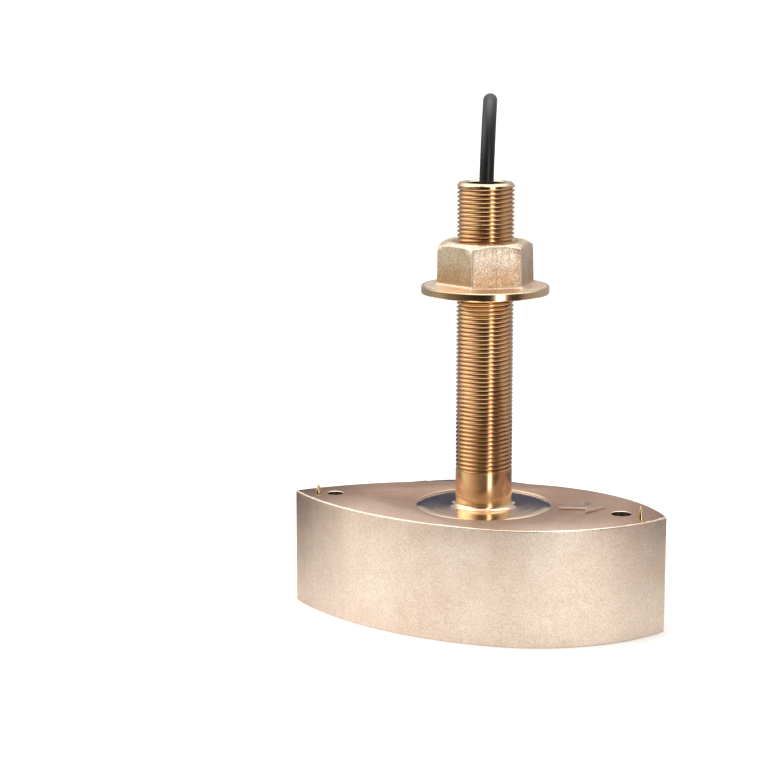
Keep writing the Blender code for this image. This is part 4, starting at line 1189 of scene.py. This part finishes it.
def build_nut():
    """The cast nut and the machined rim of its flange."""
    axis = Vector((STEM_X, 0.0))
    bore = STEM_R + 0.3
    around = [point.normalized() for point in hex_outline(FLATS[0])]

    def round_at(radius, height):
        return [(*(axis + direction * radius), NUT_Z + height) for direction in around]

    def hexagon(flats, height, widest=100.0):
        ring_points = []
        for point in hex_outline(flats):
            reach = soft_min(point.length, widest, 0.9)
            ring_points.append((*(axis + point.normalized() * reach), NUT_Z + height))
        return ring_points

    foot = RIM + 0.8
    fillet = 1.6
    rings = [round_at(bore + 1.0, 0.7), round_at(FLANGE_R - 1.2, 0.7), round_at(FLANGE_R - 1.0, 1.2)]
    rings += [round_at(FLANGE_R - 1.0, RIM - 0.1), round_at(FLANGE_R - 1.3, RIM + 0.02)]
    rings.append(round_at(27.6, RIM + 0.4))
    for i in range(7):
        a = math.radians(15 * i)
        rings.append(hexagon(FLATS[0] + 2 * fillet * (1 - math.sin(a)), foot + fillet * (1 - math.cos(a))))
    shoulder = NUT_HEIGHT - HEX_TOP_ROUND
    for i in range(1, 6):
        t = i / 6
        height = foot + fillet + (shoulder - foot - fillet) * t
        cone = HEX_CONE_R + (NUT_HEIGHT - height) * math.sqrt(3)
        rings.append(hexagon(FLATS[0] + (FLATS[1] - FLATS[0]) * t, height, cone))
    for i in range(11):
        a = math.radians(9 * i)
        drop = HEX_TOP_ROUND * (1 - math.sin(a))
        inset = HEX_TOP_ROUND * (1 - math.cos(a))
        rings.append(hexagon(FLATS[1] - 2 * inset, NUT_HEIGHT - drop, HEX_CONE_R + drop * math.sqrt(3)))
    rings += [round_at(bore + 2.0, NUT_HEIGHT), round_at(bore + 1.6, NUT_HEIGHT - 0.3)]
    rings += [round_at(bore + 0.2, NUT_HEIGHT - 1.8), round_at(bore, NUT_HEIGHT - 2.4), round_at(bore, 1.0)]
    casting = mesh_object("nut_casting", loft(rings, closed=True), NUT_CAST, 40.0)
    casting.data.materials.append(NUT_EDGE)
    for face in casting.data.polygons:
        off_flat = (math.degrees(math.atan2(face.normal.y, face.normal.x)) + 30) % 60 - 30
        corner = abs(face.normal.z) < 0.5 and abs(off_flat) > 4.0
        face.material_index = 1 if corner and foot + 0.5 < face.center.z / MM - NUT_Z else 0
    rim = [
        (bore + 1.2, 0.0), (FLANGE_R - 0.4, 0.0), (FLANGE_R, 0.4), (FLANGE_R, RIM - 0.45),
        (FLANGE_R - 0.45, RIM), (FLANGE_R - 1.4, RIM + 0.04), (FLANGE_R - 1.6, RIM - 0.3),
        (FLANGE_R - 1.6, 0.6), (bore + 1.2, 0.6),
    ]
    profile = [(r, NUT_Z + h) for r, h in rim]
    machined = mesh_object("nut_rim", lathe(profile, 160, axis, closed=True), TURNED_RIM_SHADED, 30.0)
    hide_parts("hull_nut")
    for item in (casting, machined):
        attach(item, "nut")


shell = build_shell()
stem = build_stem()
arrow = build_arrow()
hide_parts("housing")
for item in (shell, stem, arrow):
    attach(item, "body")
for pin in build_pins():
    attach(pin, "body")
build_nut()


# The CAD's own pieces keep their shapes and get their finish

for surface, names in (
    (URETHANE, ["acoustic_window"]),
    (INNER["element_tray"], ["element_tray"]),
    (INNER["backing_pad"], ["backing_pad"]),
    (INNER["circuit_board"], ["circuit_board"]),
    (INNER["potting"], ["potting_block", "stem_potting"]),
    (JACKET, ["cable_inner"]),
    (INNER["steel"], ["temperature_sensor"]),
    (INNER["ferrite"], ["transformer_core_lower", "transformer_core_upper"]),
    (NYLON, ["transformer_bobbin"]),
    (INNER["copper"], ["transformer_winding", "contact_foil", "lead_live", "lead_ground"]),
    (INNER["ceramic"], [f"ceramic_disc_{k + 1}" for k in range(7)]),
):
    for name in names:
        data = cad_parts[name].data
        data.materials.clear()
        data.materials.append(surface)
